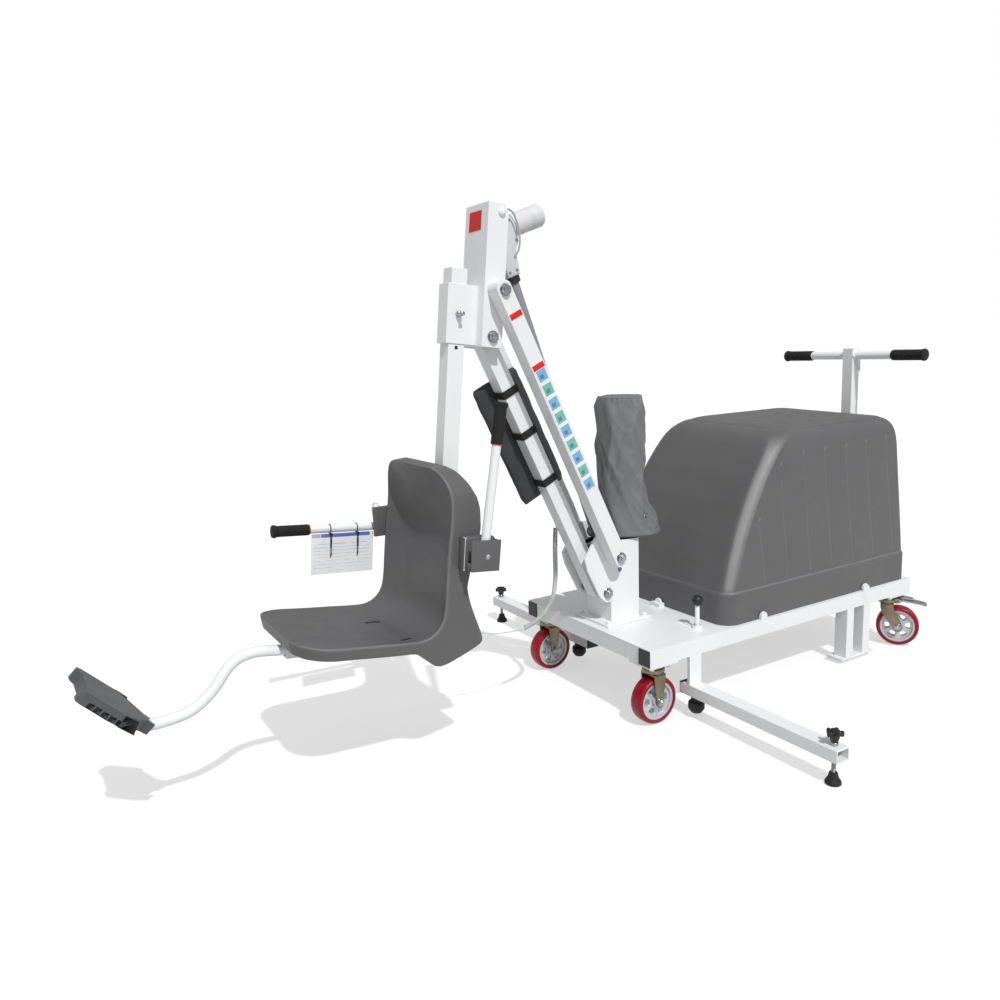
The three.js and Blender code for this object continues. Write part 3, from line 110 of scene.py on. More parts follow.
# Camera, at the photograph's place
def set_camera():
    azimuth, elevation, roll = (math.radians(v) for v in (-31.78, 10.03, -1.90))
    back = Vector((math.sin(azimuth) * math.cos(elevation), -math.cos(azimuth) * math.cos(elevation),
                   math.sin(elevation)))
    level = Vector((math.cos(azimuth), math.sin(azimuth), 0))
    upright = back.cross(level)
    right = level * math.cos(roll) + upright * math.sin(roll)
    up = upright * math.cos(roll) - level * math.sin(roll)
    camera = bpy.data.objects.new("camera", bpy.data.cameras.new("camera"))
    bpy.context.scene.collection.objects.link(camera)
    turn = Matrix((right, up, back)).transposed().to_4x4()
    camera.matrix_world = Matrix.Translation(at(-1614.4, -2176.8, 1178.8)) @ turn
    camera.data.sensor_width = 36
    camera.data.lens = 30.25
    camera.data.shift_x = -0.0121
    camera.data.shift_y = -0.0045
    bpy.context.scene.camera = camera


set_camera()


# Shader maths: a number that changes over a surface, with ordinary arithmetic
class Amount:
    def __init__(self, finish, socket):
        self.finish = finish
        self.socket = socket

    def maths(self, operation, first, second):
        return self.finish.node("ShaderNodeMath", {"operation": operation}, {0: first, 1: second})

    def __add__(self, other):
        return self.maths("ADD", self, other)

    def __radd__(self, other):
        return self.maths("ADD", other, self)

    def __sub__(self, other):
        return self.maths("SUBTRACT", self, other)

    def __rsub__(self, other):
        return self.maths("SUBTRACT", other, self)

    def __mul__(self, other):
        return self.maths("MULTIPLY", self, other)

    def __rmul__(self, other):
        return self.maths("MULTIPLY", other, self)

    def __truediv__(self, other):
        return self.maths("DIVIDE", self, other)

    def __mod__(self, other):
        return self.maths("FLOORED_MODULO", self, other)

    def over(self, edge):
        return self.maths("GREATER_THAN", self, edge)

    def under(self, edge):
        return self.maths("LESS_THAN", self, edge)

    def wave(self):
        return self.maths("SINE", self, 0.0)

    def between(self, low, high):
        return self.over(low) * self.under(high)

    def eased(self, low, high):
        return self.finish.node("ShaderNodeMapRange", {"interpolation_type": "SMOOTHSTEP"},
                                {"Value": self, "From Min": low, "From Max": high})


def shade(red, green, blue):
    def straight(value):
        value /= 255
        return value / 12.92 if value <= 0.04045 else ((value + 0.055) / 1.055) ** 2.4
    return (straight(red), straight(green), straight(blue), 1)


class Finish:
    """One material, made from a Principled shader and what varies over the surface."""

    def __init__(self, name, colour, rough, **constants):
        self.material = bpy.data.materials.new(name)
        self.material.use_nodes = True
        self.tree = self.material.node_tree
        self.shader = self.tree.nodes["Principled BSDF"]
        self.colour = shade(*colour)
        self.feed(self.shader, {"Base Color": self.colour, "Roughness": rough, **constants})
        self.place = self.node("ShaderNodeTexCoord", output="Object")

    def feed(self, node, inputs):
        for key, value in inputs.items():
            if isinstance(value, Amount):
                self.tree.links.new(value.socket, node.inputs[key])
            else:
                node.inputs[key].default_value = value

    def node(self, kind, settings=None, inputs=None, output=0):
        node = self.tree.nodes.new(kind)
        for key, value in (settings or {}).items():
            setattr(node, key, value)
        self.feed(node, inputs or {})
        return Amount(self, node.outputs[output])

    def grain(self, scale, detail=2.0, rough=0.5, place=None):
        return self.node("ShaderNodeTexNoise", {}, {"Vector": place or self.place, "Scale": scale,
                                                    "Detail": detail, "Roughness": rough})

    def pebbles(self, scale):
        return self.node("ShaderNodeTexVoronoi", {}, {"Vector": self.place, "Scale": scale})

    def stretched(self, x, y, z):
        return self.node("ShaderNodeMapping", {}, {"Vector": self.place, "Scale": (x, y, z)})

    def axes(self, place=None):
        split = self.tree.nodes.new("ShaderNodeSeparateXYZ")
        self.feed(split, {0: place or self.place})
        return [Amount(self, split.outputs[i]) for i in range(3)]

    def mix(self, share, first, second):
        def colour(value):
            return value if isinstance(value, Amount) else shade(*value)
        return self.node("ShaderNodeMix", {"data_type": "RGBA"}, {0: share, 6: colour(first),
                                                                  7: colour(second)}, 2)

    def coloured(self, share, first, second):
        self.feed(self.shader, {"Base Color": self.mix(share, first, second)})
        return self

    def painted(self, colour):
        self.feed(self.shader, {"Base Color": colour})
        return self

    def roughened(self, amount):
        self.feed(self.shader, {"Roughness": amount})
        return self

    def raised(self, height, strength, distance):
        bump = self.node("ShaderNodeBump", {}, {"Height": height, "Strength": strength,
                                                "Distance": distance}, "Normal")
        self.feed(self.shader, {"Normal": bump})
        return self


def white_coat(name="white powder coat"):
    finish = Finish(name, (240, 241, 242), 0.4, **{"Coat Weight": 0.12, "Coat Roughness": 0.25})
    cloud = finish.grain(7, 3)
    scuffs = finish.grain(60, 4, 0.7).eased(0.66, 0.74)
    streaks = finish.grain(1, 3, 0.6, finish.stretched(26, 26, 5)).eased(0.6, 0.75)
    base = finish.mix(cloud * 0.5, (242, 243, 244), (229, 231, 233))
    dusty = finish.mix(streaks * 0.16, base, (206, 205, 200))
    finish.painted(finish.mix(scuffs * 0.22, dusty, (188, 189, 190)))
    finish.roughened(0.34 + 0.16 * finish.grain(30, 3))
    return finish.raised(finish.grain(700, 1), 0.12, 0.0006)


def moulded(name, pale, dark, pebble=900, edge=60):
    finish = Finish(name, pale, 0.5, **{"Specular IOR Level": 0.42})
    cloud = finish.grain(5, 4, 0.6)
    rubbed = finish.grain(48, 5, 0.72).eased(0.62, 0.74)
    paleness = finish.node("ShaderNodeAttribute", {"attribute_name": "paleness"}, {}, "Fac")
    chalk = tuple(min(255, v + 34) for v in pale)
    bright = tuple(min(255, v + edge) for v in pale)
    base = finish.mix(cloud, pale, dark)
    marked = finish.mix(rubbed * 0.2, base, chalk)
    # Pale points take the bright colour, broken by noise: painted highlights where rounded edges catch the
    # sun, and rubbed wear.
    finish.painted(finish.mix(paleness * (0.55 + 0.45 * finish.grain(130, 4, 0.7)), marked, bright))
    finish.roughened(0.4 + 0.2 * finish.grain(22, 3))
    return finish.raised(finish.grain(pebble, 2, 0.6) + 0.5 * finish.pebbles(pebble * 0.6), 0.32, 0.0007)


def bare_metal(name, colour, tint, rough=0.3, metal=1.0):
    finish = Finish(name, colour, rough, Metallic=metal)
    cloud = finish.grain(34, 4, 0.65)
    finish.coloured(cloud, colour, tint)
    finish.roughened(rough - 0.08 + 0.22 * finish.grain(90, 4, 0.7))
    return finish.raised(finish.grain(1200, 2), 0.1, 0.0002)


def black_mould(name, colour=(27, 28, 30), rough=0.45, scale=1400, strength=0.2):
    finish = Finish(name, colour, rough)
    pale = tuple(v + 16 for v in colour)
    finish.coloured(finish.grain(40, 4, 0.7).eased(0.5, 0.8) * 0.5, colour, pale)
    finish.roughened(rough - 0.06 + 0.16 * finish.grain(70, 3))
    return finish.raised(finish.grain(scale, 2), strength, 0.0004)


def woven(name, pale, dark, threads_round, threads_up):
    finish = Finish(name, pale, 0.72, **{"Sheen Weight": 0.12, "Sheen Roughness": 0.5})
    across, along, _ = finish.axes(finish.node("ShaderNodeTexCoord", output="UV"))
    weft = (across * (threads_round * 2 * math.pi)).wave()
    warp = (along * (threads_up * 2 * math.pi)).wave()
    weave = weft * warp
    cloud = finish.grain(9, 5, 0.65)
    paleness = finish.grain(30, 5, 0.75).eased(0.52, 0.72)
    base = finish.mix(cloud, pale, dark)
    marked = finish.mix(paleness * 0.3, base, tuple(min(255, v + 26) for v in pale))
    finish.painted(finish.mix(weave * 0.12 + 0.12, marked, tuple(v * 0.6 for v in dark)))
    finish.roughened(0.62 + 0.2 * cloud)
    return finish.raised(weave * 0.5 + finish.grain(120, 4), 0.35, 0.0006)


WHITE = white_coat()
GREY = moulded("grey moulding", (101, 101, 102), (92, 92, 94), 900, 48)
SEAT_GREY = moulded("seat moulding", (99, 99, 100), (89, 89, 91), 1100, 34)
BOARD_GREY = moulded("footboard moulding", (88, 89, 91), (76, 77, 80), 700)
BLACK = black_mould("black plastic")
RUBBER = black_mould("black rubber", (24, 24, 25), 0.68, 700, 0.4)
FOAM = black_mould("foam rubber grip", (21, 21, 22), 0.82, 520, 0.7)
FORK = bare_metal("yellow zinc", (156, 146, 124), (116, 106, 86), 0.38, 0.85)
STEEL = bare_metal("stainless steel", (186, 187, 190), (150, 151, 155), 0.26)
DARK_STEEL = bare_metal("rod steel", (118, 120, 124), (88, 90, 95), 0.3, 0.9)
HUB = bare_metal("cast wheel centre", (214, 216, 219), (190, 192, 196), 0.4, 0.45)
ENAMEL = moulded("actuator enamel", (222, 224, 226), (212, 214, 217), 1500)
IRON = bare_metal("painted iron", (72, 74, 78), (54, 55, 58), 0.5, 0.5)
SLEEVE = woven("sleeve cloth", (134, 135, 137), (104, 105, 108), 320, 420)
# The bag's cloth is given the dark colour it shows in the shade under the arms: painted shade, as its sunlit
# cloth is about as pale as the sleeve's.
BAG_IN_PAINTED_SHADE = woven("bag cloth", (62, 63, 65), (42, 43, 45), 300, 330)
WEBBING = black_mould("black webbing", (26, 26, 28), 0.8, 900, 0.6)
RED_PLATE = moulded("red plate", (222, 42, 32), (208, 36, 28), 1600)


def cord_finish():
    """The jacket is darker on its upper stretch, in the shade of the arms, as in the photograph."""
    finish = Finish("pale cord jacket", (206, 214, 209), 0.46)
    _, _, z = finish.axes()
    lower = finish.mix(finish.grain(60, 3), (208, 216, 211), (196, 205, 200))
    upper = finish.mix(finish.grain(60, 3), (150, 154, 153), (136, 140, 139))
    finish.painted(finish.mix(z.eased(0.40, 0.46), lower, upper))
    finish.roughened(0.42 + 0.12 * finish.grain(80, 3))
    return finish.raised(finish.grain(1500, 2), 0.1, 0.0003)


CORD = cord_finish()
RING_WHITE = white_coat("white strap ring")
CABLE = black_mould("grey cable jacket", (172, 186, 184), 0.5, 1500, 0.1)
# A flat dark colour that paints the shade inside holes and slots.
PAINTED_HOLE_SHADE = black_mould("dark recess", (34, 34, 36), 0.8)


def tread_finish():
    finish = Finish("red tyre", (152, 3, 26), 0.34, **{"Specular IOR Level": 0.35})
    dust = finish.grain(55, 5, 0.7).eased(0.56, 0.76)
    finish.painted(finish.mix(dust * 0.12, finish.mix(finish.grain(8, 2), (158, 3, 27), (134, 2, 22)),
                              (180, 84, 90)))
    finish.roughened(0.24 + 0.2 * finish.grain(40, 4))
    return finish.raised(finish.grain(300, 3), 0.12, 0.0008)


def paper_finish():
    """Nearly white paper with faint rules and one coloured band along the tube, and no words."""
    finish = Finish("instruction card", (247, 248, 251), 0.32, **{"Coat Weight": 0.4})
    x, _, z = finish.axes()
    hub, lean = far_armrest(0, 0, 0), math.radians(FAR_TILT)
    along = (x - hub.x) * math.sin(lean) + (z - hub.z) * math.cos(lean)
    below = (z - hub.z) * math.sin(lean) - (x - hub.x) * math.cos(lean)
    rules = ((below * (2 * math.pi / 0.0105)).wave()).over(0.6)
    words = finish.grain(1, 2, 0.5, finish.stretched(38, 1, 160)).eased(0.35, 0.6)
    inside = along.between(0.118, 0.298) * below.between(0.036, 0.128)
    tint = finish.mix(below.eased(0.04, 0.085), (176, 190, 226), (212, 215, 224))
    lined = finish.mix(rules * words * inside * 0.75, (247, 248, 251), tint)
    band = below.between(0.0125, 0.0245) * along.between(0.118, 0.275)
    plain = below.between(0.0125, 0.0245) * along.between(0.277, 0.304)
    shaded = finish.mix(plain, lined, (186, 190, 196))
    finish.painted(finish.mix(band, shaded, (104, 118, 196)))
    return finish.raised(finish.grain(40, 3), 0.1, 0.001)


TREAD = tread_finish()
CARD = paper_finish()


# Modelling helpers: each primitive is added at its size and place, then shaped
def placed(name, data):
    piece = bpy.data.objects.new(name, data)
    bpy.context.scene.collection.objects.link(piece)
    return piece


def meshed(name, places, edges, faces):
    mesh = bpy.data.meshes.new(name)
    mesh.from_pydata([tuple(p) for p in places], edges, faces)
    return placed(name, mesh)


def let_go():
    if bpy.context.object is not None and bpy.context.object.mode == "EDIT":
        bpy.ops.object.mode_set(mode="OBJECT")
    bpy.ops.object.select_all(action="DESELECT")


def taken_up(piece):
    let_go()
    piece.select_set(True)
    bpy.context.view_layer.objects.active = piece
    return piece


def settled(piece):
    taken_up(piece)
    bpy.ops.object.transform_apply(location=True, rotation=True, scale=True)
    return piece


def outward(piece, weld=0):
    """Faces turned outward, after points closer than the given metres are made one."""
    taken_up(piece)
    bpy.ops.object.mode_set(mode="EDIT")
    bpy.ops.mesh.select_all(action="SELECT")
    if weld:
        bpy.ops.mesh.remove_doubles(threshold=weld)
    bpy.ops.mesh.normals_make_consistent(inside=False)
    bpy.ops.object.mode_set(mode="OBJECT")
    return piece


def smoothed(piece):
    taken_up(piece)
    bpy.ops.object.shade_smooth()


def with_modifier(piece, kind, **settings):
    taken_up(piece)
    modifier = piece.modifiers.new(kind.lower(), kind)
    for key, value in settings.items():
        setattr(modifier, key, value)
    bpy.ops.object.modifier_apply(modifier=modifier.name)
    return piece


def with_cut(piece, cutter):
    with_modifier(piece, "BOOLEAN", object=cutter, operation="DIFFERENCE", solver="EXACT")
    bpy.data.objects.remove(cutter)
    return piece


def eased(piece, width, segments=2, angle=35):
    return with_modifier(piece, "BEVEL", width=width * MM, segments=segments, limit_method="ANGLE",
                         angle_limit=math.radians(angle))


def finished(piece, name, body, finish, stands_for=(), angle=35):
    """Name a piece, give it its finish and let it ride on its body."""
    taken_up(piece)
    piece.name = name
    piece.data.name = name
    if angle:
        bpy.ops.object.shade_smooth_by_angle(angle=math.radians(angle))
    piece.data.materials.clear()
    piece.data.materials.append(finish.material)
    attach(piece, body)
    if stands_for:
        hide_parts(*stands_for)
    return piece


def joined(*parts):
    let_go()
    for part in parts:
        part.select_set(True)
    bpy.context.view_layer.objects.active = parts[0]
    bpy.ops.object.join()
    return bpy.context.object


def copied(piece, move):
    twin = placed(piece.name, piece.data.copy())
    twin.data.transform(move)
    return twin


def slab(low, high, place=at):
    """A block between two corners of a frame."""
    bpy.ops.mesh.primitive_cube_add(size=1)
    piece = bpy.context.object
    size = [high[i] - low[i] for i in range(3)]
    middle = [(high[i] + low[i]) / 2 for i in range(3)]
    piece.data.transform(Matrix.Diagonal((*(s * MM for s in size), 1)))
    if isinstance(place, Placing):
        piece.data.transform(place.matrix @ Matrix.Translation(Vector(middle) * MM))
    else:
        piece.data.transform(Matrix.Translation(place(*middle)))
    return piece


def bar(start, end, radius, sides=40, end_radius=None):
    """A round bar or cone between two places."""
    along = end - start
    bpy.ops.mesh.primitive_cone_add(vertices=sides, radius1=radius * MM,
                                    radius2=(radius if end_radius is None else end_radius) * MM,
                                    depth=along.length, location=(start + end) / 2,
                                    rotation=along.to_track_quat("Z", "Y").to_euler())
    return settled(bpy.context.object)


def turned(profile, start, end, sides=48):
    """A round piece: a profile of (radius, height) pairs, spun about the line from start to end."""
    points = [(r * MM, 0, h * MM) for r, h in profile]
    piece = meshed("turned", points, [(i, i + 1) for i in range(len(points) - 1)], [])
    taken_up(piece)
    bpy.ops.object.mode_set(mode="EDIT")
    bpy.ops.mesh.select_all(action="SELECT")
    bpy.ops.mesh.spin(steps=sides, angle=2 * math.pi, center=(0, 0, 0), axis=(0, 0, 1))
    outward(piece, 0.000005)
    turn = (end - start).to_track_quat("Z", "Y").to_matrix().to_4x4()
    piece.data.transform(Matrix.Translation(start) @ turn)
    return piece


def tube_curve(name, places, radius, resolution):
    """A round curve along places, and its run of points."""
    line = bpy.data.curves.new(name, "CURVE")
    line.dimensions = "3D"
    line.bevel_depth = radius * MM
    line.bevel_resolution = resolution
    line.use_fill_caps = True
    run = line.splines.new("POLY")
    run.points.add(len(places) - 1)
    for point, place in zip(run.points, places):
        point.co = (*place, 1)
    return placed(name, line), run


def swept(points, radius, sides=12, closed=False):
    """A tube along places, as a mesh."""
    piece, run = tube_curve("swept", points, radius, max(0, sides // 4 - 1))
    run.use_cyclic_u = closed
    taken_up(piece)
    bpy.ops.object.convert(target="MESH")
    return outward(bpy.context.object)


def lofted(rings, first_closed=True, last_closed=True):
    """Rings of equal point count joined into one skin, with its own UV map."""
    count = len(rings[0])
    places = [p for ring in rings for p in ring]
    faces = []
    for i in range(len(rings) - 1):
        for j in range(count):
            a, b = i * count + j, i * count + (j + 1) % count
            faces.append((a, b, b + count, a + count))
    if first_closed:
        faces.append(tuple(reversed(range(count))))
    if last_closed:
        faces.append(tuple(range(len(places) - count, len(places))))
    piece = meshed("lofted", places, [], faces)
    mesh = piece.data
    layer = mesh.uv_layers.new(name="UVMap")
    for face in mesh.polygons:
        spots = [divmod(mesh.loops[k].vertex_index, count) for k in face.loop_indices]
        wraps = len(spots) == 4 and max(s[1] for s in spots) - min(s[1] for s in spots) > count / 2
        for k, (row, spot) in zip(face.loop_indices, spots):
            turn = 1.0 if wraps and spot == 0 else spot / count
            layer.data[k].uv = (turn, row / (len(rings) - 1))
    return outward(piece)


def with_paleness(shell, paleness):
    """Store how pale each point is made, for the moulded finishes: painted highlights on the cover's front
    corners and the seat's rim, with rubbed wear on the rim, and pale marks along the cover's grooves, pips
    and foot step.
    """
    layer = shell.data.attributes.new("paleness", "FLOAT", "POINT")
    layer.data.foreach_set("value", [v for row in paleness for v in row])


def hex_head(start, end, radius, chamfer=1.2):
    return eased(bar(start, end, radius, 6), chamfer, 1, 50)


def faced(piece):
    """Shade large faces flat and let the eased edges carry the turn."""
    return with_modifier(piece, "WEIGHTED_NORMAL", mode="FACE_AREA", weight=90, keep_sharp=True)


def softened(node, name, finish, wide=0.0, fine=0.5, long=40):
    """A CAD node's own shape with eased edges: wide on its long edges and fine on the others."""
    body = frame["nodes"][node]["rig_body"]
    piece = placed(name, frame["nodes"][node].data.copy())
    taken_up(piece)
    if piece.data.has_custom_normals:
        bpy.ops.mesh.customdata_custom_splitnormals_clear()
    shape = bmesh.new()
    shape.from_mesh(piece.data)
    bmesh.ops.remove_doubles(shape, verts=shape.verts, dist=0.00002)
    bmesh.ops.dissolve_limit(shape, angle_limit=math.radians(0.4), verts=shape.verts, edges=shape.edges)
    weights = shape.edges.layers.float.new("bevel_weight_edge")
    for edge in shape.edges:
        if len(edge.link_faces) == 2 and edge.calc_length() > long * MM \
                and abs(edge.calc_face_angle()) > math.radians(40):
            edge[weights] = 1
    shape.to_mesh(piece.data)
    shape.free()
    if wide:
        with_modifier(piece, "BEVEL", width=wide * MM, segments=3, limit_method="WEIGHT",
                      use_clamp_overlap=False)
    if fine:
        with_modifier(piece, "BEVEL", width=fine * MM, segments=1, limit_method="ANGLE",
                      angle_limit=math.radians(52), use_clamp_overlap=False)
    return faced(finished(piece, name, body, finish, [node], 40))


# Curves through places, spaced evenly along their length
def curve_through(points, count):
    stretch = [2 * points[0] - points[1], *points, 2 * points[-1] - points[-2]]
    places = []
    for p0, p1, p2, p3 in zip(stretch, stretch[1:], stretch[2:], stretch[3:]):
        d0, d1, d2 = (math.sqrt((b - a).length) for a, b in ((p0, p1), (p1, p2), (p2, p3)))
        t1 = ((p1 - p0) / d0 - (p2 - p0) / (d0 + d1) + (p2 - p1) / d1) * d1
        t2 = ((p2 - p1) / d1 - (p3 - p1) / (d1 + d2) + (p3 - p2) / d2) * d1
        for i in range(24):
            t = i / 24
            places.append(p1 + t1 * t + (3 * p2 - 3 * p1 - 2 * t1 - t2) * t ** 2
                          + (2 * p1 - 2 * p2 + t1 + t2) * t ** 3)
    places.append(points[-1])
    return evenly(places, count)


def evenly(places, count):
    lengths = [0.0]
    for a, b in zip(places, places[1:]):
        lengths.append(lengths[-1] + (b - a).length)
    result = []
    k = 0
    for i in range(count + 1):
        goal = lengths[-1] * i / count
        while k < len(lengths) - 2 and lengths[k + 1] < goal:
            k += 1
        share = (goal - lengths[k]) / (lengths[k + 1] - lengths[k])
        result.append(places[k].lerp(places[k + 1], min(max(share, 0), 1)))
    return result


def run_length(places):
    return sum((b - a).length for a, b in zip(places, places[1:]))


def free_cord(name, places, radius, body, finish, stands_for):
    piece, run = tube_curve(name, places, radius, 2)
    run.use_smooth = True
    piece.data.materials.append(finish.material)
    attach(piece, body)
    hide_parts(*stands_for)
    run_length(places)
    return piece


def curly_cord():
    """The hand control's cord: a short lead, close curls along a line, and a straight tail."""
    lead = [(-77, 31.5, 598), (-75.8, 33.6, 595.6), (-72.2, 36.6, 590.4), (-70.6, 41, 588)]
    curls = [(-77, 41, 588), (-79, 41, 560), (-81, 41, 500), (-82, 41, 424), (-94, 41, 358),
             (-127, 41, 312), (-176, 41, 284), (-209, 41, 275)]
    tail = [(-207.3, 41, 268.8), (-209.2, 44.6, 268.2), (-215, 46, 268.8), (-226, 43.4, 270.4),
            (-240, 40, 272.5), (-285, 37, 276), (-352, 30, 288), (-415, 20, 316), (-450, 12, 356), (-466, 10, 377), (-481, 10, 380)]
    count, steps, reach = 84, 14, 6.4 * MM
    places = curve_through([at(*p) for p in lead], 8)[:-1]
    line = curve_through([at(*p) for p in curls], count * steps)
    sideways = Vector((0, 1, 0))
    for i, middle in enumerate(line):
        along = (line[min(i + 1, len(line) - 1)] - line[max(i - 1, 0)]).normalized()
        out = along.cross(sideways).normalized()
        angle = 2 * math.pi * i / steps
        places.append(middle + (out * math.cos(angle) + sideways * math.sin(angle)) * reach)
    places += curve_through([at(*p) for p in tail], 60)[1:]
    free_cord("curly_lead", places, 1.8, "seat", CORD, ["hand_cord"])


def motor_lead():
    points = [(20, -37.3, -28), (24.5, -40.4, -10), (34, -45, 1), (44, -49.4, -9), (48, -50.6, -34),
              (45, -50, -72), (30, -46, -112), (14, -37.4, -130)]
    places = curve_through([actuator(*p) for p in points], 60)
    free_cord("motor_lead", places, 3, "actuator", CABLE, ["motor_cable"])


curly_cord()
motor_lead()


# Cart: places along it of the stands and of the casters' kingpins, and the kingpins' place across
STAND_X = 188
FRONT_KINGPIN, REAR_KINGPIN, KINGPIN_Y = 55, 1242, 285


def cart():
    softened("cart_frame", "frame_weldment", WHITE, 1.4, 0, 44)
    softened("deck_plate", "deck", WHITE, 0.8, 0.5, 60)
    for side, sign in SIDES:
        beam = softened("stabiliser_beam_" + side, "beam_" + side, WHITE, 2.6, 0.5, 44)
        low, high = mirrored(sign, 800, 890)
        with_cut(beam, slab((166.3, low, 75.4), (209.7, high, 106.7)))
    for side in ("near", "far"):
        softened("rail_cap_" + side, "rail_end_" + side, BLACK, 1.2, 0.5, 30)
    softened("ballast_block", "ballast", IRON, 2, 0.5, 60)
    for label, sign in SIDES:
        inner = (291 if sign < 0 else 200) * sign
        low, high = sorted((inner - sign * 3, inner + sign * 12))
        cap = eased(slab((162.6, low, 72), (213.4, high, 110.1)), 1.5, 2)
        finished(cap, "beam_cap_" + label, "base", BLACK)
        studs = []
        for kingpin in (FRONT_KINGPIN, REAR_KINGPIN):
            for x in (kingpin - 32, kingpin + 32):
                for y in (sign * KINGPIN_Y - 32, sign * KINGPIN_Y + 32):
                    studs.append(hex_head(at(x, y, 184.5), at(x, y, 195.6), 7.5, 0.8))
        finished(joined(*studs), "pad_bolts_" + label, "base", WHITE)
    welds = []
    for x in (163, 213):
        for sign in (-1, 1):
            run = [at(x, sign * y, z) for y, z in ((322, 203.4), (328, 203.6), (333.5, 203.4))]
            welds.append(swept(curve_through(run, 10), 2.2, 8))
    finished(joined(*welds), "post_welds", "base", WHITE)


SWIVEL_FOOT = [(0, 0), (20.5, 0), (22, 1.5), (22, 5.5), (20.8, 9.5), (18, 13), (15, 18), (13, 24),
               (11.5, 32), (10, 34), (0, 34)]
INNER_FOOT = [(0, 16), (15, 16), (17, 17), (25, 28.5), (26, 31), (26, 44), (25, 50), (22, 52.6),
              (17, 53.4), (17, 71.6), (0, 71.6)]
KNOB_HUB = [(0, 121), (9, 121), (11, 124), (11, 128), (13.5, 133), (13.5, 152), (11, 154), (0, 154)]
KNOB_TIP = [(0, -7.5), (4, -7.2), (5.4, -5), (5.4, 5), (4, 7.2), (0, 7.5)]
THREAD_PITCH = 2.1


def on_stand(profile, y, sides=48):
    return turned(profile, at(STAND_X, y, 0), at(STAND_X, y, 60), sides)


def stands():
    for label, sign in SIDES:
        y = 850 * sign
        finished(on_stand(SWIVEL_FOOT, y), "swivel_foot_" + label, "screw_" + label, RUBBER,
                 ["screw_foot_" + label], 40)
        inner = on_stand(INNER_FOOT, -338 if sign < 0 else 285)
        finished(inner, "fixed_foot_" + label, "base", RUBBER, ["inner_foot_" + label], 40)
        lobes = [on_stand(KNOB_HUB, y, 32)]
        for k in range(5):
            a = 2 * math.pi * k / 5 + 0.4
            tip = at(STAND_X + 18.5 * math.cos(a), y + 18.5 * math.sin(a), 144)
            root = at(STAND_X + 6 * math.cos(a), y + 6 * math.sin(a), 143)
            lobes.append(eased(bar(root, tip, 8.4, 16, 6.6), 2, 2))
            lobes.append(turned(KNOB_TIP, tip, tip + Vector((0, 0, 1)), 20))
        finished(joined(*lobes), "star_knob_" + label, "knob_" + label, BLACK,
                        ["screw_knob_" + label], 40)
        thread = [(0, 27.5)]
        for i in range(42):
            z = 28 + i * THREAD_PITCH
            thread += [(6, z), (5.3, z + THREAD_PITCH / 2)]
        thread += [(6, 118), (0, 118)]
        finished(on_stand(thread, y, 24), "hand_screw_" + label, "knob_" + label, STEEL, (), 60)
        nut = with_cut(hex_head(at(STAND_X, y, 110.6), at(STAND_X, y, 119), 11.5),
                       bar(at(STAND_X, y, 105), at(STAND_X, y, 125), 6.3, 32))
        finished(nut, "screw_nut_" + label, "base", STEEL)


cart()
stands()


# Casters: wheel, fork and pedal about the kingpin, copied to the corners. The front forks are fixed,
# with the axle under the kingpin, and the rear ones trail behind it
REAR_TRAIL = 40
WHEEL_RADIUS = 76.2


def wheel_web(axle):
    """A round web with six kidney-shaped openings: a polar grid without its open cells, made thick."""
    radii, turns = (18, 27.5, 45, 54), 72
    places = [(r * math.cos(2 * math.pi * j / turns), 0, r * math.sin(2 * math.pi * j / turns))
              for r in radii for j in range(turns)]
    faces = []
    for i in range(3):
        for j in range(turns):
            if i == 1 and (j + 3) % 12 < 7:
                continue
            a, b = i * turns + j, i * turns + (j + 1) % turns
            faces.append((a, b, b + turns, a + turns))
    piece = meshed("web", [[v * MM for v in p] for p in places], [], faces)
    with_modifier(piece, "SOLIDIFY", thickness=0.026, offset=0)
    eased(piece, 2.4, 2)
    piece.data.transform(Matrix.Translation(axle))
    return piece


def wheel_parts(trail):
    axle, side = from_kingpin(trail, 0, WHEEL_RADIUS), from_kingpin(trail, 1, WHEEL_RADIUS)
    tread = turned([(62.8, -24.6), (66.5, -25), (70.5, -24.4), (73.6, -21.5), (75.4, -16), (76.2, -8),
                    (76.2, 8), (75.4, 16), (73.6, 21.5), (70.5, 24.4), (66.5, 25), (62.8, 24.6),
                    (62.8, -24.6)], axle, side, 72)
    rim = turned([(62.2, -21), (62.2, 21), (60.5, 21.8), (54.5, 21), (53, 18), (51.6, 6), (51.6, -6),
                  (53, -18), (54.5, -21), (60.5, -21.8), (62.2, -21)], axle, side, 72)
    boss = turned([(6.4, -25.8), (12, -26), (17.5, -24), (19, -20), (20.5, -6), (20.5, 6), (19, 20),
                   (17.5, 24), (12, 26), (6.4, 25.8), (6.4, -25.8)], axle, side, 40)
    hub = joined(rim, boss, wheel_web(axle))
    cap = [(6.4, 25.4), (14.5, 25.4), (14.5, 26.6), (12.5, 27.6), (6.4, 27.6)]
    caps = [turned([(r, sign * h) for r, h in cap], axle, side, 32) for sign in (1, -1)]
    return tread, hub, joined(*caps)


FIXED_LEG = [(-22, 166), (-22.5, 150), (-15, 92), (-13.4, 72), (-9.5, 62), (-4, 57.5), (4, 57.5),
             (9.5, 62), (13.4, 72), (15, 92), (22.5, 150), (22, 166)]
TRAILING_LEG = [(-22, 166), (-22.5, 150), (-14, 124), (8, 94), (20, 76), (27, 63), (35, 57.5),
                (45, 57.5), (53, 62.5), (57, 72), (55, 86), (46, 108), (31, 132), (24, 150), (23, 166)]


